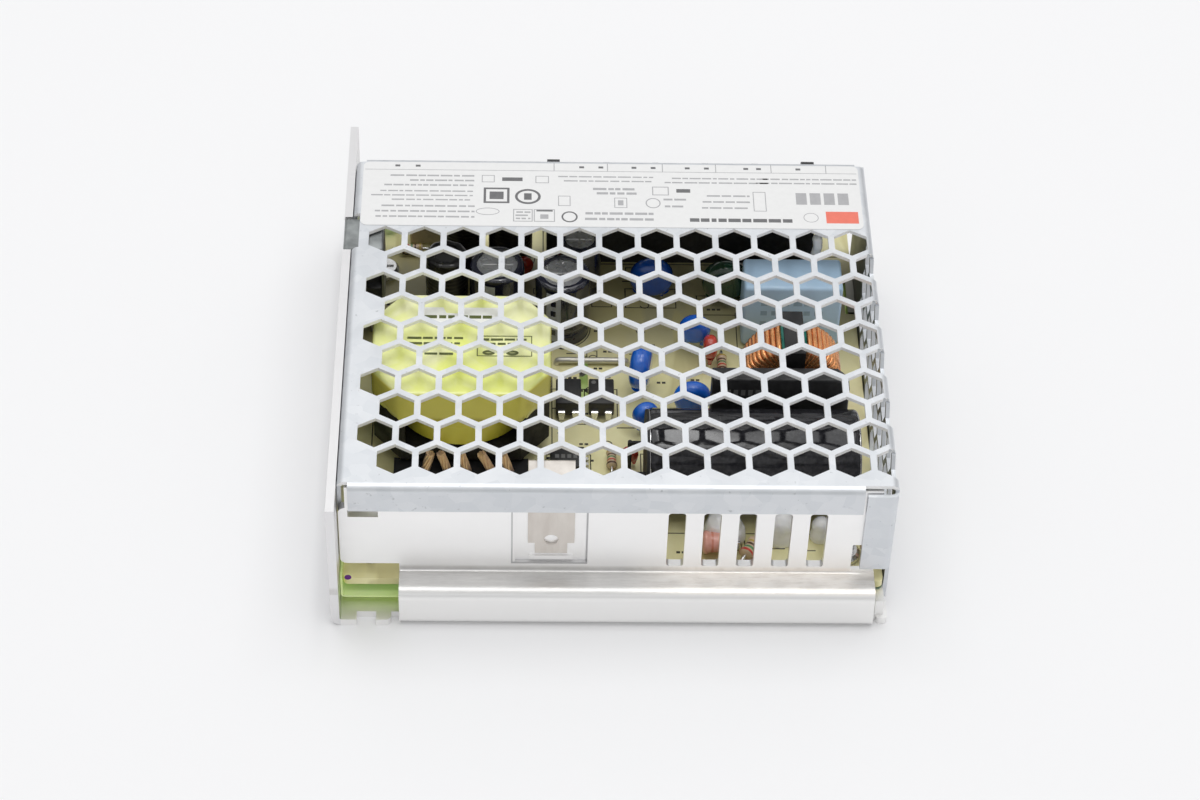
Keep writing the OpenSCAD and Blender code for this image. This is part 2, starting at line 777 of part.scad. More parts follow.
module small_capacitors() {
    color("firebrick") {
        disc(spot(0.1979, 0.0869), 90, 4.6, 2.6, 2.4);
        disc(spot(0.0392, -0.1768), 0, 3.2, 2, 1.6);
        disc(spot(-0.1598, 0.3182), 30, 4, 2.4, 1.4);
    }
}

// ---------------------------------------------------------------- choke and rectifier

choke_w = 9;
choke_z = board_top + 0.9 + choke_d / 2;
choke_wire = 1.5;
module at_choke() { translate([choke_at[0], choke_at[1], choke_z]) rotate([90, 0, 0]) children(); }

module choke_core() {
    color("seagreen") at_choke() translate([0, 0, choke_wire - choke_w / 2])
        tube(choke_d / 2 - choke_wire, choke_d / 4, choke_w - 2 * choke_wire);
}

// Two windings that close round the core and leave its top and bottom free
module choke_windings() {
    color("chocolate") at_choke() difference() {
        translate([0, 0, -choke_w / 2]) tube(choke_d / 2, choke_d / 4 - choke_wire, choke_w);
        translate([0, 0, choke_wire - choke_w / 2])
            tube(choke_d / 2 - choke_wire, choke_d / 4, choke_w - 2 * choke_wire);
        for (s = [0, 180]) rotate(s) translate([0, 0, -choke_w])
            linear_extrude(2 * choke_w) polygon([[0, -1.6], [choke_d * 0.29, choke_d],
                [-choke_d * 0.29, choke_d], [0, -1.6]]);
    }
}

module choke_base() {
    blade_w = 3.6;
    blade_t = 0.8;
    blade_y = choke_w / 2 + 0.1 + blade_t / 2;
    core_crest = choke_z - board_top + choke_d / 2 - choke_wire + 0.1;
    color("black") translate([choke_at[0], choke_at[1], board_top]) {
        block([choke_d, choke_w + 1.8, 0.8]);
        // Blades between the windings, joined by a bridge over the core
        for (s = [-1, 1]) translate([0, s * blade_y, 0.4]) block([blade_w, blade_t, core_crest + 0.6]);
        translate([0, 0, core_crest]) block([blade_w, 2 * blade_y, 1]);
    }
}

module bridge_rectifier() {
    color("black") translate([bridge_at[0], bridge_at[1], board_top]) {
        difference() {
            translate([0, 0, 2.4]) block([24.6, 3.2, 15.6]);
            translate([12.3, 0, 18]) rotate([0, 45, 0]) block([3, 6, 3]);
            translate([0, 3, 12]) rotate([90, 0, 0]) cylinder(d = 3.2, h = 6);
        }
        for (i = [-1.5:1.5]) translate([i * 5.08, 0, 0]) block([1, 0.8, 2.6]);
    }
}

module fuse() {
    half = 5;
    color("ivory") translate([fuse_at[0] - half, fuse_at[1], board_top + 2.6]) rotate([0, 90, 0]) {
        cylinder(d = 3.6, h = 2 * half);
        for (z = [0, 2 * half - 2]) translate([0, 0, z]) cylinder(d = 4, h = 2);
    }
    color("silver") for (s = [-1, 1]) translate([fuse_at[0], fuse_at[1], board_top]) {
        translate([s * (half + 1.2), 0, 0]) cylinder(d = 0.7, h = 2.95);
        translate([s > 0 ? half : -half - 1.2, 0, 2.6]) rotate([0, 90, 0]) cylinder(d = 0.7, h = 1.2);
    }
}

// ---------------------------------------------------------------- small parts

// Wound rod in a shrunk black sleeve
module sleeved_coil(p, r, h) {
    edge = 0.8;
    translate([p[0], p[1], board_top]) rotate_extrude()
        polygon([[0, 0], [r - edge, 0], [r, edge], [r, h - edge], [r - edge, h], [0, h]]);
}

module output_inductor() { color("black") sleeved_coil(inductor_at, 4, 15); }

module filter_inductors() { color("black") for (p = filter_at) sleeved_coil(p, 4.2, 13); }

module optocoupler() {
    translate([0, 0, 0.9]) block([4.6, 6.4, 3.3]);
    for (sx = [-1, 1], sy = [-1, 1]) translate([sx * 1.27, sy * 3.7, 0]) {
        block([0.6, 0.3, 2.4]);
        translate([0, -sy * 0.3, 2.1]) block([1.2, 0.7, 0.3]);
    }
}

module optocouplers() {
    color("black") for (p = optocoupler_at) translate([p[0], p[1], board_top]) optocoupler();
}

module controller_ic() {
    color("black") translate([controller_at[0], controller_at[1], board_top]) {
        translate([0, 0, 0.5]) block([6.2, 5, 2.4]);
        for (s = [-1, 1], i = [-1.5:1.5]) translate([s * 3.5, i * 1.27, 0]) {
            block([0.3, 0.6, 1.7]);
            translate([-s * 0.3, 0, 1.4]) block([0.7, 0.6, 0.3]);
        }
    }
}

// Power device clipped flat against a wall, whose inner face is at y = 0
module power_device() {
    body_z = board_top + 4;
    difference() {
        translate([-device_w / 2, 0, body_z]) cube([device_w, device_t, 9.2]);
        translate([0, device_t, body_z + 1]) rotate([90, 0, 0]) cylinder(d = 1.4, h = 0.2);
    }
    difference() {
        translate([-device_w / 2, 0, body_z + 9.2]) cube([device_w, tab_t, 4.6]);
        translate([0, 3, body_z + 11.6]) rotate([90, 0, 0]) cylinder(d = 3.6, h = 6);
    }
    for (i = [-1:1]) translate([i * 2.54, 2.4, board_top]) block([0.8, 0.5, 4.1]);
}

module heat_pad(top) {
    w = pad_w - 1.7;
    translate([-w / 2, 0, board_top + 3]) cube([w, pad_t, top - board_top - 3]);
}

// Clip over the wall's top: one leg in the pad outside, the other on the device inside
module spring_clip() {
    outer_foot = pad_foot + 2.3;
    shoulder = pad_foot + 4.9;
    inner_y = base_t + pad_push + pad_t + device_t + 0.02;
    grip_z = board_top + 9;
    arch_z = clip_notch + 0.1;
    outer_c = pad_push - 0.02 - clip_t / 2;
    difference() {
        union() {
            along_x(-clip_w / 2, clip_w / 2) bent_strip([[outer_c, shoulder],
                [outer_c, arch_z + clip_t / 2], [inner_y + clip_t / 2, arch_z + clip_t / 2],
                [inner_y + clip_t / 2, grip_z]], clip_t, clip_t / 2 + 0.2);
            translate([-clip_w * 0.35, outer_c - clip_t / 2, outer_foot])
                cube([clip_w * 0.7, clip_t, shoulder - outer_foot]);
        }
        translate([0, 2, shoulder + 0.8]) rotate([90, 0, 0]) cylinder(d = 2.5, h = 4);
    }
}

module at_mosfet() { translate([mosfet_x, wall_in + pad_push, 0]) children(); }
module at_diode() { translate([left_in + pad_push, diode_y, 0]) rotate(-90) children(); }

module mosfet() { color("dimgray") at_mosfet() translate([0, pad_t, 0]) power_device(); }
module mosfet_pad() { color("lightgray") at_mosfet() heat_pad(ceiling - 4.4); }
module mosfet_clip() { color("tan") at_rear_clip() spring_clip(); }
module rectifier_diode() { color("dimgray") at_diode() translate([0, pad_t, 0]) power_device(); }
module rectifier_pad() { color("lightgray") at_diode() heat_pad(under_flange); }
module rectifier_clip() { color("tan") at_left_clip() spring_clip(); }

// Axial part lying along x, with its leads bent down to the board
module axial(p, turn, d, l, lift) {
    wire = 0.6;
    translate([p[0], p[1], board_top]) rotate(turn) {
        translate([-l / 2, 0, lift]) rotate([0, 90, 0]) {
            cylinder(d = d * 0.86, h = l);
            for (z = [0, l * 0.8]) translate([0, 0, z]) cylinder(d = d, h = l * 0.2);
        }
        for (s = [-1, 1]) {
            translate([s * (l / 2 + 1.5), 0, 0]) cylinder(d = wire, h = lift + wire / 2);
            translate([s > 0 ? l / 2 : -l / 2 - 1.5, 0, lift]) rotate([0, 90, 0]) cylinder(d = wire, h = 1.5);
        }
    }
}

module power_resistor() {
    color("salmon") axial([right_in - 29.1, wall_in + 4.6], 0, 4.2, 5.4, 2.4);
}

module small_resistors() {
    color("burlywood") {
        axial(spot(0.0062, -0.1707), 90, 1.9, 4, 1.2);
        axial(spot(0.2216, 0.0768), 90, 2, 4.4, 1.2);
        axial(spot(-0.3814, 0.3889), 0, 2, 4.4, 1.2);
        axial(spot(-0.2062, 0.303), 0, 2, 4.4, 1.2);
        axial([board_x1 - 0.95, wall_in + 3.6], 90, 1.7, 3.4, 1.2);
        axial([right_in - 23.2, wall_in + 3.9], 60, 2.6, 4.2, 1.8);
    }
}

// Bare wire bridges over the board
module jumper_wires() {
    color("silver") for (j = [[spot(-0.0278, 0.0869), 13, 1.2], [spot(0.0557, -0.3081), 6, 0.7],
        [spot(0.301, 0.2626), 7, 0.7]]) translate([j[0][0], j[0][1], board_top]) {
        translate([-j[1] / 2, 0, 0.9]) rotate([0, 90, 0]) cylinder(d = j[2], h = j[1]);
        for (s = [-1, 1]) translate([s * j[1] / 2, 0, 0]) cylinder(d = j[2], h = 0.9 + j[2] / 2);
    }
}

// Beads of soft sealant that stake tall parts to the board
module silicone_beads() {
    color("white") {
        // Along the foot of the bulk capacitor
        for (p = [[-30.6, 4.2], [-28.9, 5], [-26.9, 4.4], [-24.9, 3.4], [-19.6, 4.6], [-17.7, 5.2],
            [-15.7, 4.4], [-11.6, 3.8], [-9.8, 3]])
            translate([right_in + p[0], bulk_at[1] - bulk_d / 2 - 1.3, board_top]) {
                cylinder(r = 1.2, h = p[1]);
                translate([0, 0, p[1]]) sphere(r = 1.2);
            }
        translate([film_cap_at[0] + 4.7, film_cap_at[1] + film_cap_w / 2 + 1.6, board_top])
            round_block([2.2, 2.4, film_cap_h + 4.4], 0.8);
    }
}

module led() {
    color("limegreen") translate([left_in + 5.6, front_out - 4.2, board_top]) {
        for (s = [-1, 1]) translate([s * 1.27, 0, 0]) cylinder(d = 0.5, h = 2.4);
        translate([0, 0, 2]) cylinder(r = 1.9, h = 1);
        translate([0, 0, 3]) cylinder(r = 1.5, h = 3);
        translate([0, 0, 6]) intersection() {
            sphere(r = 1.5);
            cylinder(r = 2, h = 2);
        }
    }
}

trimmer_r = 2.2;
trimmer_floor = 3;
module at_trimmer() { translate([left_in + 13, front_out - 5.2, board_top]) children(); }

module trimmer_body() {
    color("steelblue") at_trimmer() difference() {
        translate([0, 0, 0.5]) round_block([6.8, 6.8, 4.4], 0.4);
        translate([0, 0, trimmer_floor]) cylinder(r = trimmer_r + 0.06, h = 4);
    }
    color("silver") at_trimmer() for (p = [[-2.4, 2], [2.4, 2], [0, -2]])
        translate([p[0], p[1], 0]) cylinder(d = 0.6, h = 0.5);
}

module trimmer_rotor() {
    color("white") at_trimmer() difference() {
        translate([0, 0, trimmer_floor]) cylinder(r = trimmer_r, h = 2.1);
        translate([0, 0, trimmer_floor + 2.1]) cross_recess(3, 0.8);
    }
}

// ---------------------------------------------------------------- terminals

function terminal_x(k) = block_x0 + end_wall_t - barrier_t / 2 + (k - 0.5) * terminal_pitch;
function barrier_x(k) = k == 0 ? block_x0 : terminal_x(k) + (terminal_pitch - barrier_t) / 2;
function is_end(k) = k == 0 || k == terminal_count;
function barrier_w(k) = is_end(k) ? end_wall_t : barrier_t;
function barrier_h(k) = is_end(k) ? block_h : block_h - 0.6;
bay_w = terminal_pitch - barrier_t;
contact_w = bay_w - 0.4;
leg_w = 1.4;
leg_t = 0.9;
well_d = screw_d + 0.8;
screw_length = 5.6;

module terminal_block() {
    tip = 1.5;
    color("black") translate([0, 0, board_top]) difference() {
        union() {
            translate([block_x0, block_y0, 0]) cube([block_w, block_d, block_floor]);
            translate([block_x0, block_y0, 0]) cube([block_w, 1.8, block_h - 3.2]);
            for (k = [0:terminal_count]) along_x(barrier_x(k), barrier_x(k) + barrier_w(k)) {
                translate([block_y0, 0]) square([block_d, barrier_h(k) - tip]);
                translate([block_y0, barrier_h(k) - tip - eps]) square([block_d - tip, tip + eps]);
                translate([block_y1 - tip, barrier_h(k) - tip]) circle(tip);
            }
        }
        for (k = [1:terminal_count]) translate([terminal_x(k), 0, 0]) {
            translate([0, screw_y, block_floor - 4.4]) cylinder(d = well_d, h = 5);
            translate([-leg_w / 2 - 0.2, contact_y0 - 0.2, -1]) cube([leg_w + 0.4, leg_t + 0.4, block_floor + 2]);
        }
    }
}

// Tinned plates with a tapped hole, and a leg down through the block to the board
module terminal_contacts() {
    color("silver") for (k = [1:terminal_count]) translate([terminal_x(k), 0, 0]) {
        difference() {
            translate([-contact_w / 2, contact_y0, contact_z])
                cube([contact_w, contact_y1 - contact_y0, contact_t]);
            translate([0, screw_y, contact_z - 1]) cylinder(d = screw_d + 2 * screw_fit, h = contact_t + 2);
        }
        translate([-leg_w / 2, contact_y0, board_top]) cube([leg_w, leg_t, block_floor + eps]);
    }
}

module terminal_clamp(k) {
    color("gainsboro") translate([terminal_x(k), screw_y, clamp_z]) difference() {
        round_block([contact_w - 0.6, contact_w - 1, clamp_t], 0.8);
        translate([0, 0, -1]) cylinder(d = screw_d + 2 * screw_fit, h = clamp_t + 2);
    }
}

module terminal_screw(k) {
    color("silver") translate([terminal_x(k), screw_y, screw_z])
        pan_screw(screw_d, screw_head_d, 2.3, screw_length);
}

chassis();
cover();
cover_screws();
label();
insulation_sheet();
board();
board_standoffs();
board_screws();
transformer_core();
transformer_bobbin();
transformer_winding();
transformer_tape();
transformer_leads();
bulk_capacitor_can();
bulk_capacitor_sleeve();
film_capacitor();
choke_core();
choke_windings();
choke_base();
bridge_rectifier();
thermistor();
fuse();
disc_capacitors();
varistor();
output_capacitor_cans();
output_capacitor_sleeves();
output_inductor();
filter_inductors();
optocouplers();
controller_ic();
mosfet();
mosfet_pad();
mosfet_clip();
rectifier_diode();
rectifier_pad();
rectifier_clip();
power_resistor();
small_resistors();
small_capacitors();
jumper_wires();
silicone_beads();
led();
trimmer_body();
trimmer_rotor();
terminal_block();
terminal_contacts();
terminal_clamp(1);  // terminal_clamp_1
terminal_clamp(2);  // terminal_clamp_2
terminal_clamp(3);  // terminal_clamp_3
terminal_clamp(4);  // terminal_clamp_4
terminal_clamp(5);  // terminal_clamp_5
terminal_screw(1);  // terminal_screw_1
terminal_screw(2);  // terminal_screw_2
terminal_screw(3);  // terminal_screw_3
terminal_screw(4);  // terminal_screw_4
terminal_screw(5);  // terminal_screw_5
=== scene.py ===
import bpy
import bmesh
import math
import random
from mathutils import Matrix, Vector


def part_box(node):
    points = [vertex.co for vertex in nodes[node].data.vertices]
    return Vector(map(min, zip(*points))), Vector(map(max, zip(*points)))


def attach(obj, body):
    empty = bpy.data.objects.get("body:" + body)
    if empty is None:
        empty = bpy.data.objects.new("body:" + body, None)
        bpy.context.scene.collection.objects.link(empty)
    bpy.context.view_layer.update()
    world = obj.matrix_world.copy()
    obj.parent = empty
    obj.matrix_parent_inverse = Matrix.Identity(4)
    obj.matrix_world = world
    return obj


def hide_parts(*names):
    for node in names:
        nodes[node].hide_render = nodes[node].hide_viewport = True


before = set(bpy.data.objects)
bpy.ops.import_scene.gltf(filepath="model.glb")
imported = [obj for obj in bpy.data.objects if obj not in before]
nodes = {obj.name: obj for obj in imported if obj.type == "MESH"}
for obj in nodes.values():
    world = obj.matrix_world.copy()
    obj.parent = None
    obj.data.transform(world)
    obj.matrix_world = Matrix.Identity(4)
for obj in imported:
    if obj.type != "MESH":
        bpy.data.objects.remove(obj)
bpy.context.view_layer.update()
MM = 0.001

# Chassis: one sheet of 1.5 mm aluminium, folded into the base, the tall left wall
# and the stepped rear wall. Fine rolling lines run across it and the folds are bright.


def plug(tree, inputs, sources):
    for name, source in sources.items():
        socket = inputs[name]
        if isinstance(source, (int, float, tuple)):
            socket.default_value = (*source, 1) if socket.type == "RGBA" else source
        else:
            tree.links.new(source, socket)


def node_of(tree, kind, links, **settings):
    node = tree.nodes.new(kind)
    for key, value in settings.items():
        setattr(node, key, value)
    plug(tree, node.inputs, links)
    return node.outputs


def new_finish(name, color, metallic=0.0, roughness=0.5, coat=0.0):
    material = bpy.data.materials.new(name)
    material.use_nodes = True
    tree = material.node_tree
    shader = tree.nodes["Principled BSDF"]
    plug(tree, shader.inputs, {"Base Color": color, "Metallic": metallic, "Roughness": roughness,
                               "Coat Weight": coat, "Coat Roughness": 0.06})
    return material, tree, shader


def object_place(tree, stretch=(1, 1, 1)):
    coords = node_of(tree, "ShaderNodeTexCoord", {})
    return node_of(tree, "ShaderNodeMapping", {"Vector": coords["Object"], "Scale": stretch})["Vector"]


def sides_of(tree, vector):
    return node_of(tree, "ShaderNodeSeparateXYZ", {0: vector})


def facing(tree):
    return sides_of(tree, node_of(tree, "ShaderNodeNewGeometry", {})["Normal"])


def noise(tree, scale, detail=3.0, rough=0.55, warp=0.0, stretch=(1, 1, 1)):
    sizes = {"Scale": scale, "Detail": detail, "Roughness": rough, "Distortion": warp}
    return node_of(tree, "ShaderNodeTexNoise", {"Vector": object_place(tree, stretch), **sizes})["Fac"]


def ramp(tree, value, *stops):
    node = tree.nodes.new("ShaderNodeValToRGB")
    points = node.color_ramp.elements
    while len(points) < len(stops):
        points.new(0.5)
    for point, (at, color) in zip(points, stops):
        point.position = at
        point.color = (*color, 1)
    plug(tree, node.inputs, {"Fac": value})
    return node.outputs["Color"]


def spread(tree, value, low, high, from_low=0.3, from_high=0.7):
    ends = {"From Min": from_low, "From Max": from_high, "To Min": low, "To Max": high}
    return node_of(tree, "ShaderNodeMapRange", {"Value": value, **ends})["Result"]


def blend_colors(tree, share, first, second):
    return node_of(tree, "ShaderNodeMix", {"Factor": share, 6: first, 7: second}, data_type="RGBA")[2]


def math_of(tree, operation, first, second):
    return node_of(tree, "ShaderNodeMath", {0: first, 1: second}, operation=operation)[0]


def zone(tree, *edges, unit=MM):
    """Share of 1 inside all the edges; each edge rises from its first value to its second."""
    share = 1
    for value, start, end in edges:
        share = math_of(tree, "MULTIPLY", spread(tree, value, 0, 1, start * unit, end * unit), share)
    return share


def bump(tree, shader, value, strength, distance):
    raised = node_of(tree, "ShaderNodeBump", {"Strength": strength, "Distance": distance, "Height": value})
    plug(tree, shader.inputs, {"Normal": raised["Normal"]})


def rolled_aluminium():
    step_h, step_back, bend, inner_left = 8.5, -43.6, 0.7, -46.6
    pad_left, pad_right, pad_foot, pad_line = -17.3, -4.15, 10.3, 0.3
    flange, front_end, rear_end = 46.0, -41, 39
    material, tree, shader = new_finish("rolled_aluminium", (0.90, 0.895, 0.89), 1.0, 0.3)
    x, y, z = sides_of(tree, object_place(tree))
    lines = noise(tree, 6, 3, stretch=(7, 900, 900))
    streaks = noise(tree, 5, 3, 0.7, stretch=(60, 420, 60))
    right_side = zone(tree, (x, inner_left - 0.3, inner_left))
    clean = ramp(tree, noise(tree, 55, 4), (0.3, (0.965, 0.96, 0.955)), (0.7, (1.0, 0.995, 0.99)))
    # The left wall is painted a little darker: painted shade that tones down the lamp's highlight along it
    clean = blend_colors(tree, right_side, (0.80, 0.795, 0.80), clean)
    # Lower rear wall painted a little darker as painted shade, and a thin painted shadow line round the edges of
    # the clip's pad
    low_wall = zone(tree, (y, step_back - 0.1, step_back - 0.2), (z, step_h - bend, step_h - 2 * bend),
                    (x, inner_left - 0.3, inner_left))
    clean = blend_colors(tree, low_wall, clean, (0.91, 0.905, 0.895))
    near_pad = zone(tree, (y, step_back + 0.2, step_back + 0.1), (z, pad_foot - 0.05, pad_foot),
                    (x, pad_left - 0.05, pad_left), (x, pad_right + 0.05, pad_right))
    inside = zone(tree, (z, pad_foot + 0.35, pad_foot + 0.5), (x, pad_left + 0.2, pad_left + pad_line),
                  (x, pad_right - 0.25, pad_right - 0.35))
    outline = math_of(tree, "MULTIPLY", near_pad, spread(tree, inside, 0.75, 0, 0, 1))
    clean = blend_colors(tree, outline, clean, (0.42, 0.42, 0.43))
    # Right flange, in the shade between the board and the cover's side wall
    shaded = zone(tree, (x, flange - 0.1, flange), (z, 1.8, 2.2), (y, front_end - 1, front_end),
                  (y, rear_end + 1, rear_end))
    clean = blend_colors(tree, shaded, clean, (0.30, 0.30, 0.27))
    # Ledge of the step, brushed across, with a painted reflection that is grey at the left and warm at the right
    ledge = zone(tree, (z, step_h + 2 * bend, step_h + bend), (z, step_h - bend, step_h - bend / 2),
                 (y, step_back + bend, step_back))
    streaked_grey_reflection = ramp(tree, streaks, (0.3, (0.62, 0.61, 0.595)), (0.5, (0.68, 0.67, 0.655)),
                (0.7, (0.74, 0.73, 0.715)))
    streaked_warm_reflection = ramp(tree, streaks, (0.3, (0.84, 0.79, 0.73)), (0.5, (0.98, 0.935, 0.88)),
                (0.7, (1.0, 0.97, 0.93)))
    brushed_and_reflection = blend_colors(tree, zone(tree, (x, 2, 14)), streaked_grey_reflection, streaked_warm_reflection)
    color = blend_colors(tree, math_of(tree, "MULTIPLY", ledge, 0.85), clean, brushed_and_reflection)
    plug(tree, shader.inputs, {"Base Color": color, "Roughness": spread(tree, lines, 0.36, 0.48)})
    bump(tree, shader, math_of(tree, "MULTIPLY", lines, right_side), 0.10, 0.00004)
    return material


def dress(material, *names):
    for name in names:
        slots = nodes[name].data.materials
        slots.clear()
        slots.append(material)


dress(rolled_aluminium(), "chassis")

# Cover: one sheet of 0.7 mm galvanised steel, punched with hexagons while flat and
# then folded. The zinc shows faint grey-blue spangles with small rubbed spots.


def galvanised():
    under_top, inside_wall = 29.2, 47.4
    material, tree, shader = new_finish("galvanised", (0.72, 0.75, 0.78), 0.9, 0.38)
    cells = node_of(tree, "ShaderNodeTexVoronoi", {"Vector": object_place(tree), "Scale": 380})
    cloud = noise(tree, 150, 5, 0.6, 0.4)
    base = blend_colors(tree, 0.4, ramp(tree, cloud, (0.3, (0.67, 0.695, 0.725)), (0.7, (0.76, 0.78, 0.805))),
                        ramp(tree, cells["Color"], (0.2, (0.655, 0.68, 0.71)), (0.8, (0.785, 0.80, 0.82))))
    rubbed = spread(tree, noise(tree, 900, 2), 0, 1, 0.68, 0.76)
    zinc = blend_colors(tree, rubbed, base, (0.56, 0.58, 0.60))
    x, _, z = sides_of(tree, object_place(tree))
    ways = facing(tree)
    # Inner face of the side wall, which the light hardly reaches
    inner = math_of(tree, "MULTIPLY", zone(tree, (ways["X"], -0.6, -0.7), unit=1),
                    zone(tree, (x, inside_wall - 0.2, inside_wall)))
    zinc = blend_colors(tree, inner, zinc, (0.24, 0.25, 0.21))
    # Walls of the holes in the top, bright where the punch sheared the zinc
    upright = zone(tree, (ways["Z"], -0.3, -0.2), (ways["Z"], 0.3, 0.2), unit=1)
    sheared = math_of(tree, "MULTIPLY", upright, zone(tree, (z, under_top - 0.05, under_top)))
    plug(tree, shader.inputs, {"Base Color": blend_colors(tree, sheared, zinc, (0.98, 0.975, 0.97)),
                               "Metallic": spread(tree, sheared, 0.9, 0.05, 0, 1),
                               "Roughness": spread(tree, cloud, 0.40, 0.54)})
    bump(tree, shader, cloud, 0.06, 0.00005)
    return material


dress(galvanised(), "cover")

# Cover screws, board screws, and the terminals' screws and clamps: zinc-plated steel,
# turned and rolled, with a soft shine and slightly dull recesses.


def mottled(base, pattern, dark, light, shine=None, relief=(0.15, 0.00005), ends=(0.3, 0.7),
            shine_pattern=None, relief_pattern=None, extra=None):
    """Two tones over a pattern; roughness and fine relief follow it or a pattern of their own."""
    material, tree, shader = new_finish(*base)
    spots = noise(tree, **pattern)
    tone = ramp(tree, spots, (ends[0], dark), (ends[1], light))
    plug(tree, shader.inputs, {"Base Color": tone, **(extra or {})})
    if shine:
        worn = noise(tree, **shine_pattern) if shine_pattern else spots
        plug(tree, shader.inputs, {"Roughness": spread(tree, worn, *shine)})
    if relief:
        raised = noise(tree, **relief_pattern) if relief_pattern else spots
        bump(tree, shader, raised, *relief)
    return material


dress(mottled(("plated_steel", (0.80, 0.80, 0.80), 1.0, 0.28), {"scale": 700}, (0.70, 0.70, 0.69),
              (0.86, 0.86, 0.86), (0.2, 0.38), (0.08, 0.00003)),
      "cover_screws", "board_screws",
      *[f"terminal_{part}_{k}" for part in ("screw", "clamp") for k in range(1, 6)])

# Label: thin white film stuck along the terminal end of the cover. What is printed on
# it is only plain bars, frames and rings, and one red field, all flat ink.

label_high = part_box("label")[1]


def plain(name, color, roughness=0.5, grain=500, tint=0.06, depth=0.00003, metallic=0.0, coat=0.0):
    dark = tuple(c * (1 - tint) for c in color)
    light = tuple(min(1, c * (1 + tint)) for c in color)
    return mottled((name, color, metallic, roughness, coat), {"scale": grain}, dark, light,
                   (roughness * 0.85, min(1, roughness * 1.15)), (0.15, depth))


def show(name, bm, materials, replaced=(), sharp=32):
    bmesh.ops.recalc_face_normals(bm, faces=bm.faces)
    for face in bm.faces:
        face.smooth = True
    for edge in bm.edges:
        if len(edge.link_faces) == 2 and edge.calc_face_angle(0) > math.radians(sharp):
            edge.smooth = False
    mesh = bpy.data.meshes.new(name)
    bm.to_mesh(mesh)
    bm.free()
    for material in materials:
        mesh.materials.append(material)
    piece = bpy.data.objects.new(name, mesh)
    bpy.context.scene.collection.objects.link(piece)
    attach(piece, "case")
    if replaced:
        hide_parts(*replaced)


def paint(bm, made, ink):
    for face in {f for v in made for f in v.link_faces}:
        face.material_index = ink


def block(bm, low, high, bevel=0.0, segments=2, ink=0):
    made = bmesh.ops.create_cube(bm, size=1)["verts"]
    low, high = Vector(low), Vector(high)
    move = Matrix.Translation((low + high) / 2) @ Matrix.Diagonal((*(high - low), 1))
    bmesh.ops.transform(bm, matrix=move, verts=made)
    paint(bm, made, ink)
    if bevel:
        edges = list({e for v in made for e in v.link_edges})
        bmesh.ops.bevel(bm, geom=edges, offset=bevel, segments=segments, profile=0.5, affect="EDGES")


ink_foot, ink_top = -0.02, 0.012


def printed_bar(bm, z, ink, x0, y0, x1, y1):
    block(bm, (x0 * MM, y0 * MM, z + ink_foot * MM), (x1 * MM, y1 * MM, z + ink_top * MM), ink=ink)


def printed_frame(bm, z, ink, x0, y0, x1, y1, w):
    for bar in ((x0, y0, x1, y0 + w), (x0, y1 - w, x1, y1), (x0, y0 + w, x0 + w, y1 - w),
                (x1 - w, y0 + w, x1, y1 - w)):
        printed_bar(bm, z, ink, *bar)


def sleeve_of(bm, sections, ink, closed=False):
    """Joins sections of equal corners into a tube that closes on itself or ends in two faces."""
    faces = [] if closed else [bm.faces.new(sections[0]), bm.faces.new(sections[-1][::-1])]
    corners = len(sections[0])
    for first, second in zip(sections, sections[1:] + sections[:1] * closed):
        for k in range(corners):
            after = (k + 1) % corners
            faces.append(bm.faces.new((first[k], second[k], second[after], first[after])))
    for face in faces:
        face.material_index = ink


def printed_ring(bm, z, ink, x, y, rx, ry, w, start=0, sweep=360):
    steps = 28
    sections = []
    for i in range(steps + (sweep < 360)):
        a = math.radians(start + sweep * i / steps)
        corner = [((x + (rx - g) * math.cos(a)) * MM, (y + (ry - g) * math.sin(a)) * MM, z + h * MM)
                  for g, h in ((0, ink_foot), (0, ink_top), (w, ink_top), (w, ink_foot))]
        sections.append([bm.verts.new(place) for place in corner])
    sleeve_of(bm, sections, ink, sweep == 360)


def printed_rows(bm, dice, z, ink, x0, y0, x1, y1, rows, tall, ragged=0.25):
    step = (y1 - y0) / rows
    for row in range(rows):
        y = y0 + step * (row + 0.5) - tall / 2
        x = x0 + (x1 - x0) * dice.uniform(0, ragged)
        while x < x1 - 0.4:
            end = min(x1, x + dice.uniform(0.7, 2.6))
            printed_bar(bm, z, ink, x, y, end, y + tall)
            x = end + dice.uniform(0.22, 0.4)


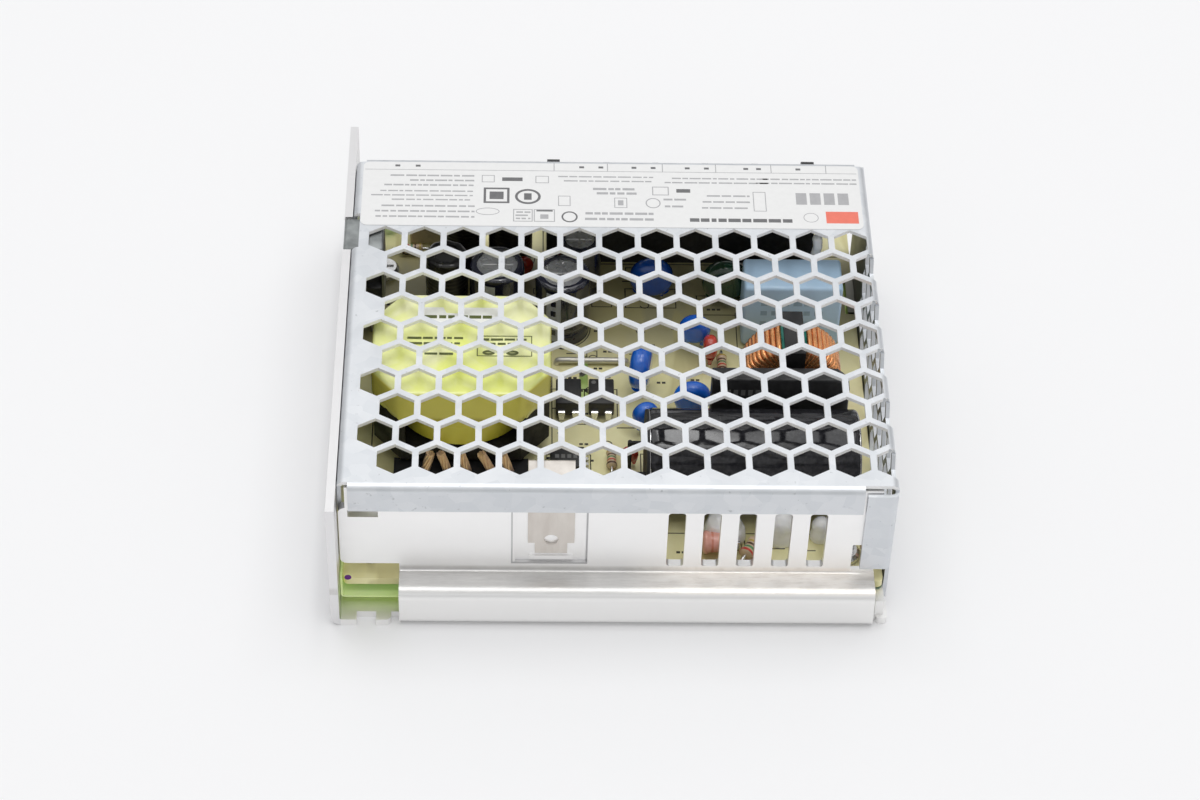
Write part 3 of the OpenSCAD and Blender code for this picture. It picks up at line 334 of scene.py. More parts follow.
def label_print():
    bm = bmesh.new()
    dice = random.Random(7)
    top = label_high.z
    grey, dark, red = range(3)
    # Rows of dashes: ink, corners, number of rows, height, ragged start
    for ink, *rows in (
            (grey, -44.4, 22.6, -24.6, 27.0, 3, 0.42), (grey, -44.4, 27.4, -25.0, 31.0, 3, 0.34, 0.5),
            (grey, -44.6, 31.4, -24.8, 35.4, 3, 0.42, 0.4), (grey, -4.8, 22.3, 8.4, 25.4, 2, 0.62, 0.05),
            (grey, -3.4, 29.6, 5.4, 32.0, 2, 0.6, 0.2), (grey, -9.6, 33.0, 8.6, 35.4, 2, 0.34, 0.1),
            (grey, 10.2, 25.8, 14.6, 29.6, 2, 0.5, 0.1), (grey, 15.6, 25.6, 26.4, 30.6, 3, 0.42, 0.3),
            (grey, 10.4, 32.8, 30.0, 35.2, 2, 0.36, 0.2), (grey, 27.0, 32.9, 46.6, 35.2, 2, 0.36, 0.1),
            (dark, 14.8, 22.4, 34.0, 23.7, 1, 0.95, 0.02), (grey, -17.1, 22.6, -14.3, 25.2, 3, 0.4, 0.1)):
        printed_rows(bm, dice, top, ink, *rows)
    # Frames (corners and line width), solid bars and rings in place of symbols
    for ink, *frame_size in ((dark, -23.0, 27.2, -18.2, 31.5, 0.45), (grey, -23.4, 33.0, -21.0, 35.0, 0.16),
                             (grey, -13.4, 32.9, -10.9, 34.9, 0.16), (grey, -17.5, 22.2, -13.9, 25.6, 0.18),
                             (grey, -13.7, 22.2, -9.8, 25.6, 0.18), (grey, 1.2, 26.2, 3.6, 29.0, 0.16),
                             (grey, -9.2, 26.6, -6.9, 29.4, 0.16), (grey, 8.3, 29.8, 11.4, 32.2, 0.2),
                             (grey, 27.0, 25.6, 29.4, 31.0, 0.16)):
        printed_frame(bm, top, ink, *frame_size)
    for ink, *corners in ((dark, -21.9, 28.3, -19.3, 30.4), (dark, -15.5, 28.2, -14.1, 30.0),
                          (dark, -19.6, 33.4, -15.8, 34.4), (dark, -13.2, 25.0, -10.2, 25.4),
                          (grey, -12.5, 23.0, -11.0, 24.2), (grey, 1.9, 26.9, 2.9, 28.3),
                          (dark, 12.8, 30.6, 15.4, 31.6), (red, 40.3, 22.5, 46.3, 25.7)):
        printed_bar(bm, top, ink, *corners)
    for ink, *ring in ((dark, -14.8, 29.1, 2.4, 2.1, 0.5), (dark, -7.1, 23.6, 1.5, 1.5, 0.32),
                       (grey, -22.2, 24.9, 2.2, 1.0, 0.16), (grey, 8.4, 27.6, 1.4, 1.4, 0.22),
                       (grey, 37.5, 24.0, 1.4, 1.3, 0.14)):
        printed_ring(bm, top, ink, *ring)
    for k in range(4):
        printed_bar(bm, top, grey, 35.0 + 2.6 * k, 27.6, 37.0 + 2.6 * k, 30.8)
    # Long line near the terminal edge, with a tick at each terminal boundary
    printed_bar(bm, top, grey, -45.2, 36.3, 46.8, 36.42)
    for x in (-10.0, 0.0, 10.3, 20.3, 30.7, 41.0):
        printed_bar(bm, top, grey, x, 36.42, x + 0.16, 38.6)
    for x in (-39.6, -35.8, -5.2, -1.6, 4.6, 8.2, 14.6, 18.2, 25.6, 28.0, 35.4):
        printed_bar(bm, top, dark, x, 37.2, x + 0.9, 37.75)
    return bm


dress(plain("label_film", (0.835, 0.835, 0.83), 0.40, 900, 0.015), "label")
show("label_print", label_print(), [plain("grey_ink", (0.44, 0.44, 0.45), 0.45, 900, 0.05),
                                    plain("dark_ink", (0.16, 0.16, 0.165), 0.45, 900, 0.1),
                                    plain("red_ink", (0.86, 0.20, 0.14), 0.42, 900, 0.04)])

# Insulation film: clear yellow-green sheet under the board, its edge turned up along
# the walls, with a faint painted glow (emission) that stands in for the daylight falling through it.

clear_film = mottled(("clear_film", (0.78, 0.88, 0.50), 0.0, 0.14),
                     {"scale": 60, "detail": 2, "stretch": (1, 3, 3)},
                     (0.72, 0.84, 0.40), (0.84, 0.92, 0.56), relief=(0.25, 0.0003),
                     extra={"Alpha": 0.9, "Emission Color": (0.60, 0.78, 0.22), "Emission Strength": 0.14,
                            "Subsurface Weight": 0.35, "Subsurface Radius": (0.003, 0.003, 0.002)})
dress(clear_film, "insulation_sheet")

# Circuit board: cream laminate with dark print above and green mask and tracks below.
# Parts are soldered from below, where each joint is a small bright cone.


def laminate():
    material, tree, shader = new_finish("board_laminate", (0.80, 0.76, 0.50), 0.0, 0.38)
    fibre = noise(tree, 240, 6, 0.6)
    tracks = noise(tree, 120, 1, 0.3, 1.2, (1, 0.4, 1))
    top = blend_colors(tree, 0.4, ramp(tree, fibre, (0.3, (0.90, 0.83, 0.42)), (0.7, (0.99, 0.94, 0.58))),
                       ramp(tree, noise(tree, 40, 2), (0.3, (0.90, 0.83, 0.40)), (0.7, (0.99, 0.95, 0.60))))
    # Painted shade darkens the crowded rows towards the terminals
    y = sides_of(tree, object_place(tree))["Y"]
    painted_shade_rows = math_of(tree, "MULTIPLY", zone(tree, (y, 7, 18), (y, 41, 37)), 0.75)
    top = blend_colors(tree, painted_shade_rows, top, (0.28, 0.25, 0.13))
    # Copper below shows through the laminate as soft brown-green clouds
    top = blend_colors(tree, spread(tree, tracks, 0, 0.55, 0.50, 0.62), top, (0.56, 0.50, 0.22))
    mask = ramp(tree, tracks, (0.47, (0.015, 0.16, 0.06)), (0.50, (0.03, 0.30, 0.12)))
    upward = zone(tree, (facing(tree)["Z"], -0.6, -0.4), unit=1)
    plug(tree, shader.inputs, {"Base Color": blend_colors(tree, upward, mask, top)})
    bump(tree, shader, fibre, 0.1, 0.00005)
    return material


dress(laminate(), "board")


def parts_of(name):
    bm = bmesh.new()
    bm.from_mesh(nodes[name].data)
    bmesh.ops.remove_doubles(bm, verts=bm.verts, dist=0.000002)
    left, found = set(bm.verts), []
    while left:
        group, todo = [], [left.pop()]
        while todo:
            vert = todo.pop()
            group.append(vert.co.copy())
            for edge in vert.link_edges:
                other = edge.other_vert(vert)
                if other in left:
                    left.remove(other)
                    todo.append(other)
        found.append((Vector(map(min, zip(*group))), Vector(map(max, zip(*group)))))
    bm.free()
    return sorted(found, key=lambda pair: (round(pair[0].x, 5), round(pair[0].y, 5)))


board_low, board_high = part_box("board")
board_top = board_high.z


def board_print():
    bm = bmesh.new()
    dark, brown, purple = range(3)
    line, margin = 0.2, 0.7
    dice = random.Random(3)
    large = ["transformer_core", "bulk_capacitor_sleeve", "film_capacitor", "choke_base", "terminal_block"]
    for name in large + ["bridge_rectifier", "controller_ic", "fuse", "varistor", "thermistor", "power_resistor"]:
        low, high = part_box(name)
        x0, y0 = (max(low[i], board_low[i] + MM) / MM - margin for i in (0, 1))
        x1, y1 = (min(high[i], board_high[i] - MM) / MM + margin for i in (0, 1))
        printed_frame(bm, board_top, dark, x0, y0, x1, y1, line)
    for name in ("output_capacitor_cans", "output_inductor", "filter_inductors"):
        for low, high in parts_of(name):
            x, y, _ = (low + high) / 2 / MM
            r = (high.x - low.x) / 2 / MM + 0.6
            printed_ring(bm, board_top, dark, x, y, r, r, line)
    for low, high in parts_of("optocouplers"):
        x, y, _ = (low + high) / 2 / MM
        printed_frame(bm, board_top, dark, x - 3.1, y - 4.6, x + 3.1, y + 4.6, line)
    # Frames, bars, open rings and rows of pads strewn between the large parts
    clear = [(*(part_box(name)[0] / MM).xy, *(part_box(name)[1] / MM).xy) for name in large]
    placed = 0
    while placed < 120:
        x, y = dice.uniform(-45, 44), dice.uniform(-42, 40)
        w, h = dice.uniform(1.2, 4.2), dice.uniform(0.9, 3)
        kind = dice.choice("fbbmrmm")
        if any(x + w > a - 0.4 and x < c + 0.4 and y + h > b - 0.4 and y < d + 0.4 for a, b, c, d in clear):
            continue
        placed += 1
        if kind == "f":
            printed_frame(bm, board_top, dark, x, y, x + w, y + h, 0.18)
        elif kind == "b":
            printed_bar(bm, board_top, dark, x, y, x + w, y + 0.26)
        elif kind == "r":
            printed_ring(bm, board_top, dark, x + 1, y + 1, 0.9, 0.9, line, dice.uniform(0, 360), 250)
        else:
            for k in range(dice.choice([2, 3])):
                printed_bar(bm, board_top, dark, x + k * 0.95, y, x + k * 0.95 + 0.66, y + 0.5)
    # Bold bars and blocks in the bay in front of the transformer: first one, step, count, size
    for x0, y0, step, count, w, h in ((-9.6, -39.2, 1.35, 5, 0.6, 2.2), (-1.9, -40.4, 1.15, 6, 0.5, 3.8),
                                      (15.9, -41.9, 0.95, 3, 0.6, 0.7), (-2.2, -36.4, 0, 1, 7.0, 0.3),
                                      (-6.0, -30.4, 0, 1, 1.0, 0.8)):
        for k in range(count):
            printed_bar(bm, board_top, dark, x0 + k * step, y0, x0 + k * step + w, y0 + h)
    for corners in ((-6.6, -31.2, -4.4, -28.8), (1.2, -31.0, 3.4, -28.4)):
        printed_frame(bm, board_top, dark, *corners, 0.22)
    # Pairs of short rules behind the vents
    for x, y in ((17.2, -40.6), (21.9, -40.8), (27.4, -40.4), (32.8, -40.8), (37.6, -40.4)):
        printed_bar(bm, board_top, dark, x, y, x + 3.4, y + 0.24)
        printed_bar(bm, board_top, dark, x, y + 3.1, x + 3.4, y + 3.3)
    # Drops of amber flux, and the inspector's purple dot in the corner by the step
    for x, y, r in ((6.5, -37.6, 0.5), (7.3, -38.4, 0.3), (15.2, -38.1, 0.6), (8.8, -24.2, 0.4),
                    (-4.4, 12.3, 0.5)):
        printed_ring(bm, board_top, brown, x, y, r, r * 0.8, r * 0.79)
    printed_ring(bm, board_top, purple, -45.6, -44.5, 0.6, 0.55, 0.54)
    return bm


show("board_print", board_print(), [plain("board_ink", (0.055, 0.05, 0.035), 0.6),
                                    plain("flux", (0.36, 0.17, 0.03), 0.2),
                                    plain("purple_ink", (0.16, 0.03, 0.30), 0.4)])


def new_tree(name, sizes):
    tree = bpy.data.node_groups.new(name, "GeometryNodeTree")
    tree.interface.new_socket("Geometry", in_out="INPUT", socket_type="NodeSocketGeometry")
    tree.interface.new_socket("Geometry", in_out="OUTPUT", socket_type="NodeSocketGeometry")
    kinds = {int: "NodeSocketInt", float: "NodeSocketFloat"}
    for label, value in sizes.items():
        kind = kinds.get(type(value), "NodeSocketMaterial")
        tree.interface.new_socket(label, in_out="INPUT", socket_type=kind)
    return tree, tree.nodes.new("NodeGroupInput").outputs, tree.nodes.new("NodeGroupOutput").inputs


def close_tree(tree, given, made, ends):
    whole = node_of(tree, "GeometryNodeRealizeInstances", {"Geometry": made})
    dressed = node_of(tree, "GeometryNodeSetMaterial", {"Geometry": whole[0], "Material": given["Finish"]})
    tree.links.new(dressed[0], ends["Geometry"])


def grow(name, tree, points, sizes, replaced=(), place=Matrix()):
    mesh = bpy.data.meshes.new(name)
    mesh.from_pydata(points, [], [])
    piece = bpy.data.objects.new(name, mesh)
    bpy.context.scene.collection.objects.link(piece)
    growth = piece.modifiers.new("growth", "NODES")
    growth.node_group = tree
    for item in tree.interface.items_tree:
        if item.in_out == "INPUT" and item.name in sizes:
            growth[item.identifier] = sizes[item.name]
    made = bpy.data.meshes.new_from_object(piece.evaluated_get(bpy.context.evaluated_depsgraph_get()))
    piece.modifiers.remove(growth)
    made.transform(place)
    made.name = name
    piece.data = made
    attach(piece, "case")
    if replaced:
        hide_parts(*replaced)


tin = plain("tinned_wire", (0.80, 0.80, 0.79), 0.22, 700, 0.06, metallic=1.0)
joint_sizes = {"Foot": 0.95 * MM, "Tip": 0.28 * MM, "Height": 0.9 * MM, "Finish": tin}
tree, given, ends = new_tree("solder joints", joint_sizes)
cone = node_of(tree, "GeometryNodeMeshCone", {"Vertices": 12, "Radius Top": given["Tip"],
                                            "Radius Bottom": given["Foot"], "Depth": given["Height"]})
turned_down = node_of(tree, "GeometryNodeTransform", {"Geometry": cone[0], "Rotation": (math.pi, 0, 0)})
sown = node_of(tree, "GeometryNodeInstanceOnPoints", {"Points": given["Geometry"], "Instance": turned_down[0]})
close_tree(tree, given, sown[0], ends)


def joint_places():
    dice = random.Random(11)
    places = []
    for name in ("disc_capacitors", "varistor", "thermistor", "small_resistors", "jumper_wires", "fuse",
                 "bridge_rectifier", "optocouplers", "film_capacitor", "terminal_contacts", "power_resistor"):
        for low, high in parts_of(name):
            along = 0 if high.x - low.x > high.y - low.y else 1
            for share in (0.16, 0.84):
                spot = (low + high) / 2
                spot[along] = low[along] * (1 - share) + high[along] * share
                places.append((spot.x, spot.y, board_low.z))
    for _ in range(60):
        places.append((dice.uniform(-44, 43) * MM, dice.uniform(-41, 46) * MM, board_low.z))
    kept, apart, reach_x, reach_y = [], 2.1 * MM, 43 * MM, 46 * MM
    for place in places:
        on_board = abs(place[0]) < reach_x and abs(place[1]) < reach_y
        if on_board and all(math.dist(place, other) > apart for other in kept):
            kept.append(place)
    return kept


grow("solder_joints", tree, joint_places(), joint_sizes)
dress(tin, "board_standoffs", "terminal_contacts")

# Transformer core and bobbin: two grey-black sintered ferrite halves, ground flat,
# clasped on a black moulded bobbin whose pin rails stand on the board.

ferrite = mottled(("ferrite", (0.02, 0.02, 0.02), 0.0, 0.6), {"scale": 1300, "detail": 4, "rough": 0.7},
                  (0.010, 0.010, 0.010), (0.032, 0.031, 0.030), (0.35, 0.7), (0.2, 0.00005), (0.35, 0.7),
                  shine_pattern={"scale": 220, "detail": 2}, extra={"Specular IOR Level": 0.25})
dress(ferrite, "transformer_core")
black_plastic = plain("black_moulding", (0.018, 0.018, 0.019), 0.40, 1200, 0.25)
dress(black_plastic, "transformer_bobbin")

# Transformer winding: enamelled wire under turns of lime-yellow polyester tape, seen
# bulging out between the two halves of the core.


def tape(name, light, dark, side, roughness, creases_at, depth):
    material, tree, shader = new_finish(name, light, 0.0, roughness, 1.0)
    creases = noise(tree, creases_at, 4, 0.5, 0.8, (1, 1, 1.8))
    # Faces turned away from the top are painted a deeper, darker yellow: painted shade for the sides
    upward = zone(tree, (facing(tree)["Z"], 0.3, 0.85), unit=1)
    color = blend_colors(tree, upward, side, ramp(tree, creases, (0.32, dark), (0.6, light)))
    shine = spread(tree, creases, roughness * 1.6, roughness * 0.7)
    plug(tree, shader.inputs, {"Base Color": color, "Roughness": shine})
    bump(tree, shader, creases, 0.4, depth)
    return material


dress(tape("olive_tape", (0.92, 0.85, 0.12), (0.74, 0.68, 0.07), (0.86, 0.79, 0.09), 0.28, 60, 0.0004),
      "transformer_winding")

# Transformer tape: glossy lime-yellow film drawn over the top of the core and round its
# cut corners, with a white slip and plain printed marks under its last turn.


def octagon(low, high, cut_x, cut_y, rounding, steps=4, between=7):
    left, right, back, front = low.x + cut_x, high.x - cut_x, low.y + cut_y, high.y - cut_y
    corners = [Vector((x, y, 0)) for x, y in (
        (high.x, front), (right, high.y), (left, high.y), (low.x, front),
        (low.x, back), (left, low.y), (right, low.y), (high.x, back))]
    points = []
    for i, here in enumerate(corners):
        behind, ahead = corners[i - 1], corners[(i + 1) % 8]
        first = here + (behind - here).normalized() * rounding
        way = (ahead - here).normalized()
        last = here + way * rounding
        for t in (k / steps for k in range(steps + 1)):
            points.append(first * (1 - t) ** 2 + here * 2 * t * (1 - t) + last * t * t)
        length = (ahead - here).length - 2 * rounding
        points += [last + way * length * k / between for k in range(1, between)]
    return points


def tape_cap():
    bm = bmesh.new()
    low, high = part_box("transformer_tape")
    middle = (low + high) / 2
    cut_x, cut_y, edge, rounding = 5 * MM, 6 * MM, 0.7 * MM, 1.2 * MM
    film_in, clear, sag = 0.28 * MM, 0.02 * MM, 0.16 * MM
    outline = octagon(low, high, cut_x, cut_y, rounding)
    count = len(outline)
    dice = random.Random(5)
    wave = [dice.uniform(-1, 1) for _ in outline]
    rings = []

    def ring(inset, z, wobble=0.0, rag=0.0):
        made = []
        for i, (p, w) in enumerate(zip(outline, wave)):
            along = (outline[(i + 1) % count] - outline[i - 1]).normalized()
            p = p + Vector((-along.y, along.x, 0)) * inset
            inward = (middle - p).xy.to_3d().normalized()
            made.append(bm.verts.new(p + inward * (wobble * (w + 1) * 0.5) + Vector((0, 0, z + rag * w))))
        rings.append(made)

    # Inner face, lower hem, outer face with draped waves, rounded shoulder, sagging top
    ring(film_in, high.z - 0.4 * MM)
    ring(film_in, low.z + 0.5 * MM)
    ring(film_in / 2, low.z + 0.35 * MM, 0, 0.3 * MM)
    ring(clear, low.z + 0.45 * MM, 0.03 * MM, 0.3 * MM)
    for share in (0.25, 0.5, 0.75):
        ring(clear / 2, low.z + (high.z - edge - low.z) * share, 0.06 * MM)
    for k in range(6):
        a = math.radians(90 * k / 5)
        up = high.z - clear - edge * (1 - math.sin(a))
        ring(edge * (1 - math.cos(a)) + clear / 2, up, 0.04 * MM * math.cos(a))
    rim = rings[-1]
    for share in (0.16, 0.34, 0.52, 0.7, 0.86):
        made = []
        for v in rim:
            p = v.co.lerp(Vector((middle.x, middle.y, v.co.z)), share)
            fold = 0.5 + 0.5 * math.sin(p.x / MM * 0.55 + 1.3) * math.sin(p.y / MM * 0.7)
            p.z = high.z - clear - sag * fold * min(1, share * 3)
            made.append(bm.verts.new(p))
        rings.append(made)
    crown = bm.verts.new((middle.x, middle.y, high.z - 0.1 * MM))
    roof = bm.verts.new((middle.x, middle.y, high.z - 0.4 * MM))
    for i in range(count):
        j = (i + 1) % count
        for first, second in zip(rings, rings[1:]):
            bm.faces.new((first[i], first[j], second[j], second[i]))
        bm.faces.new((rings[-1][i], rings[-1][j], crown))
        bm.faces.new((rings[0][j], rings[0][i], roof))
    return bm


lime_tape = tape("lime_tape", (0.99, 1.0, 0.58), (0.88, 0.94, 0.24), (0.90, 0.83, 0.16), 0.13, 95, 0.0008)
show("transformer_tape_cap", tape_cap(), [lime_tape], ["transformer_tape"], 50)


def core_slip():
    bm = bmesh.new()
    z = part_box("transformer_tape")[1].z - 0.045 * MM
    dice = random.Random(17)
    white, dark = range(2)
    printed_bar(bm, z - 0.02 * MM, white, -34.2, -1.4, -19.8, 2.6)
    for rows in ((-33.2, -0.6, -27.8, 0.9, 1, 0.8, 0), (-26.2, -0.6, -20.8, 0.9, 1, 0.8, 0),
                 (-36.4, -7.3, -26.0, -4.6, 2, 0.5, 0.05), (-33.0, -9.9, -27.6, -8.6, 1, 0.5, 0.05),
                 (-23.0, -7.2, -14.6, -5.0, 2, 0.5, 0.02)):
        printed_rows(bm, dice, z, dark, *rows)
    printed_frame(bm, z, dark, -23.7, -9.8, -13.9, -4.6, 0.16)
    for x in (-21.6, -17.4):
        printed_ring(bm, z, dark, x, -8.9, 1.1, 0.6, 0.5)
    return bm


show("core_slip", core_slip(), [plain("white_slip", (0.88, 0.88, 0.86), 0.4, 600, 0.03),
                                plain("slip_ink", (0.10, 0.12, 0.03), 0.4, 900, 0.1)])

# Transformer leads: bundles of fine enamelled strands, twisted together, that fan out
# from the winding to the bobbin's pins.


def wire(bm, path, radius, steps=8, ink=0):
    path = [Vector(p) for p in path]
    side, rings = None, []
    for i, p in enumerate(path):
        ahead = (path[min(i + 1, len(path) - 1)] - path[max(i - 1, 0)]).normalized()
        side = side or ahead.orthogonal()
        side = (side - ahead * side.dot(ahead)).normalized()
        other = ahead.cross(side)
        around = [2 * math.pi * k / steps for k in range(steps)]
        rings.append([bm.verts.new(p + radius * (side * math.cos(a) + other * math.sin(a))) for a in around])
    sleeve_of(bm, rings, ink)


def twisted_leads():
    bm = bmesh.new()
    low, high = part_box("transformer_leads")
    core_low, core_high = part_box("transformer_core")
    middle, y = (core_low.x + core_high.x) / 2, low.y + 0.86 * MM
    strand, bundle, turns, strands, steps = 0.27 * MM, 0.56 * MM, 0.35, 8, 8
    for foot, head in ((-6.8, -5.4), (-1.9, -3.6), (1.6, 0), (6.2, 3.6), (9.2, 7.4)):
        first = Vector((middle + foot * MM, y, low.z + 0.1 * MM))
        last = Vector((middle + head * MM, y, high.z - 0.2 * MM))
        side = Vector((0, 1, 0))
        other = (last - first).normalized().cross(side)
        for k in range(strands):
            r = bundle if k else 0
            path = []
            for t in (i / steps for i in range(steps + 1)):
                a = 2 * math.pi * (k / (strands - 1) + turns * t)
                path.append(first.lerp(last, t) + (side * math.cos(a) + other * math.sin(a)) * r)
            wire(bm, path, strand, 6)
    return bm


show("twisted_leads", twisted_leads(),
     [plain("enamelled_strands", (0.96, 0.68, 0.55), 0.34, 900, 0.1, metallic=0.7, coat=0.2)],
     ["transformer_leads"])

# Bulk capacitor: aluminium can lying on its side in a shrunk black sleeve, which is
# creased along its length and gathered over both rims. Black rubber seals the left end.

can_color, can_roughness = (0.88, 0.88, 0.89), 0.28
dress(plain("can_aluminium", can_color, can_roughness, 500, 0.05, metallic=1.0), "output_capacitor_cans")


def can_with_bung():
    material, tree, shader = new_finish("can_and_bung", can_color, 1.0, can_roughness)
    sleeve_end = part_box("bulk_capacitor_sleeve")[0].x / MM
    metal = zone(tree, (sides_of(tree, object_place(tree))["X"], sleeve_end + 0.2, sleeve_end + 0.3))
    plug(tree, shader.inputs, {"Base Color": blend_colors(tree, metal, (0.015, 0.015, 0.016), can_color),
                               "Metallic": metal, "Roughness": spread(tree, metal, 0.6, can_roughness)})
    return material


dress(can_with_bung(), "bulk_capacitor_can")


def turned(bm, profile, place, steps=32, ripple=None):
    rings = []
    for r, z in profile:
        ring = []
        for i in range(steps if r > 1e-7 else 1):
            a = 2 * math.pi * i / steps
            grown = r + (ripple(a, r, z) if ripple else 0)
            ring.append(bm.verts.new(place @ Vector((grown * math.cos(a), grown * math.sin(a), z))))
        rings.append(ring * steps if len(ring) == 1 else ring)
    for low, high in zip(rings, rings[1:]):
        for i in range(steps):
            j = (i + 1) % steps
            corners = list(dict.fromkeys((low[i], low[j], high[j], high[i])))
            if len(corners) > 2:
                bm.faces.new(corners)
    return [v for ring in rings for v in ring]


def shoulder(r, z, edge, top, steps=6):
    sign = 1 if top else -1
    for k in range(steps + 1):
        a = math.radians(90 * (k if top else steps - k) / steps)
        yield r - edge + edge * math.cos(a), z - sign * edge + sign * edge * math.sin(a)


def at(x, y, z, turn=0, axis="Z"):
    return Matrix.Translation((x, y, z)) @ Matrix.Rotation(math.radians(turn), 4, axis)


def bulk_sleeve():
    bm = bmesh.new()
    low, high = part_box("bulk_capacitor_sleeve")
    radius, length = (high.z - low.z) / 2, high.x - low.x
    lip, edge, wall, inset = radius - 1.3 * MM, 0.9 * MM, 0.24 * MM, 0.02 * MM

    def ripple(a, r, z):
        if r < radius - 0.2 * MM:
            return 0
        along = z / length
        near_end = max(0, 1 - min(z, length - z) / (4 * MM))
        crease = 0.5 + 0.5 * math.sin(9 * a + 2.2 * math.sin(2 * math.pi * along * 1.3 + 0.6))
        fine = 0.5 + 0.5 * math.sin(31 * a + 3 * math.sin(7 * along + a))
        gather = near_end * (0.5 + 0.5 * math.sin(26 * a + 5 * along))
        return -MM * (0.055 * crease ** 2 + 0.018 * fine + 0.07 * gather)

    profile = [(lip, inset)] + list(shoulder(radius, 0, edge, False))
    profile += [(radius, edge + (length - 2 * edge) * k / 46) for k in range(1, 46)]
    profile += list(shoulder(radius, length, edge, True)) + [(lip, length - inset), (lip, length - 0.2 * MM)]
    profile += [(radius - wall, length - edge), (radius - wall, edge), (lip, 0.2 * MM), (lip, inset)]
    turned(bm, profile, at(low.x, (low.y + high.y) / 2, (low.z + high.z) / 2, 90, "Y"), 144, ripple)
    bmesh.ops.remove_doubles(bm, verts=bm.verts, dist=0.000001)
    return bm


glossy_sleeve = mottled(("glossy_black_sleeve", (0.012, 0.012, 0.016), 0.0, 0.12, 0.1),
                        {"scale": 1500, "detail": 2}, (0.012, 0.012, 0.015), (0.035, 0.035, 0.04),
                        relief=(0.35, 0.0003), ends=(0.4, 0.75),
                        relief_pattern={"scale": 260, "rough": 0.5, "warp": 0.6, "stretch": (0.16, 1, 1)},
                        extra={"Specular IOR Level": 0.4})
show("creased_sleeve", bulk_sleeve(), [glossy_sleeve], ["bulk_capacitor_sleeve"], 60)

# Output capacitors: three upright cans with a stamped vent cross, each in a dark sleeve
# that rolls over the rim and carries a pale stripe on its negative side.


def output_sleeves():
    bm = bmesh.new()
    stripe_way, stripe_out, steps = math.radians(250), 0.012 * MM, 6
    for low, high in parts_of("output_capacitor_sleeves"):
        radius, height = (high.x - low.x) / 2, high.z - low.z
        x, y = ((low + high) / 2).xy
        lip, edge, inner = radius - 1.3 * MM, 0.85 * MM, radius - 0.24 * MM

        def waist(a, r, z):
            groove = max(0, 1 - abs(z - 2.8 * MM) / (1.1 * MM))
            return -MM * 0.3 * groove ** 2 if r > radius - 0.1 * MM else 0

        profile = [(inner, 0), (radius, 0)] + [(radius, (0.3 + 0.5 * k) * MM) for k in range(12)]
        profile += list(shoulder(radius, height, edge, True))
        profile += [(lip, height), (lip, height - 0.2 * MM), (inner, height - 0.3 * MM), (inner, 0)]
        turned(bm, profile, at(x, y, low.z), 48, waist)
        # Pale stripe with plain dashes
        marks = [(0.28, 1 * MM, height - 1.4 * MM, stripe_out, 1)]
        marks += [(0.1, (2.6 + 2.4 * k) * MM, (3.9 + 2.4 * k) * MM, 2 * stripe_out, 0) for k in range(4)]
        for half, z0, z1, lift, ink in marks:
            outer, sections = radius + lift, []
            under = outer - 0.03 * MM
            for i in range(steps + 1):
                a = stripe_way + half * (2 * i / steps - 1)
                sections.append([bm.verts.new((x + r * math.cos(a), y + r * math.sin(a), low.z + z))
                                 for r, z in ((outer, z0), (outer, z1), (under, z1), (under, z0))])
            sleeve_of(bm, sections, ink)
    bmesh.ops.remove_doubles(bm, verts=bm.verts, dist=0.000001)
    return bm


show("output_sleeves", output_sleeves(),
     [plain("dark_sleeve", (0.016, 0.018, 0.035), 0.15, 160, 0.3, 0.0001, coat=0.7),
      plain("pale_stripe", (0.46, 0.48, 0.52), 0.35, 500, 0.05)], ["output_capacitor_sleeves"])

# Suppression capacitor: light blue plastic box with softened edges, sealed with resin
# below, its front marked with plain raised bars.


def film_box():
    bm = bmesh.new()
    low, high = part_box("film_capacitor")
    y = (low.y + high.y) / 2
    block(bm, (low.x, low.y, low.z + 0.4 * MM), high, 0.7 * MM, 4)
    for x in (low.x + 1.6 * MM, high.x - 1.6 * MM):
        wire(bm, [(x, y, low.z), (x, y, low.z + 0.8 * MM)], 0.4 * MM, 10)
        for foot in (low.y + 1.1 * MM, high.y - 1.1 * MM):
            half = Vector((0.8, 0.5, 0.3)) * MM
            centre = Vector((x, foot, low.z + half.z))
            block(bm, centre - half, centre + half, 0.12 * MM)
    for k in range(6):
        x, w, tall = low.x + (3.2 + 2.0 * k) * MM, (1.2 + 0.4 * (k % 2)) * MM, 1.1 * MM
        for z in (low.z + h * MM for h in (5.6, 8.2, 10.6)):
            block(bm, (x, low.y - ink_top * MM, z), (x + w, low.y + 0.1 * MM, z + tall), ink=1)
    return bm


show("film_box", film_box(), [plain("pale_blue_case", (0.47, 0.66, 0.85), 0.32, 260, 0.04, 0.00004, coat=0.2),
                              plain("case_marks", (0.30, 0.44, 0.58), 0.4)], ["film_capacitor"])

# Choke: a teal-coated ring core on edge with two copper windings, one on each side,
# parted and held by black plastic blades on a black base.

dress(plain("ring_coating", (0.03, 0.34, 0.27), 0.35, 400, 0.2, coat=0.3), "choke_core")
dress(black_plastic, "choke_base")
copper = plain("enamelled_copper", (0.98, 0.42, 0.17), 0.26, 600, 0.12, metallic=0.75, coat=0.3)
core_low, core_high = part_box("choke_core")
wind_sizes = {"Turns": 21, "Core Radius": (core_high.x - core_low.x) / 2, "Core Hole": 4.75 * MM,
              "Core Depth": core_high.y - core_low.y, "Wire": 1.0 * MM, "Start": math.radians(-71),
              "Sweep": math.radians(142), "Finish": copper}
tree, given, ends = new_tree("turns round a ring", wind_sizes)
deep = math_of(tree, "SUBTRACT", given["Core Radius"], given["Core Hole"])
reach = math_of(tree, "ADD", deep, given["Wire"])
breadth = math_of(tree, "ADD", given["Core Depth"], given["Wire"])
loop = node_of(tree, "GeometryNodeCurvePrimitiveQuadrilateral", {"Width": reach, "Height": breadth})
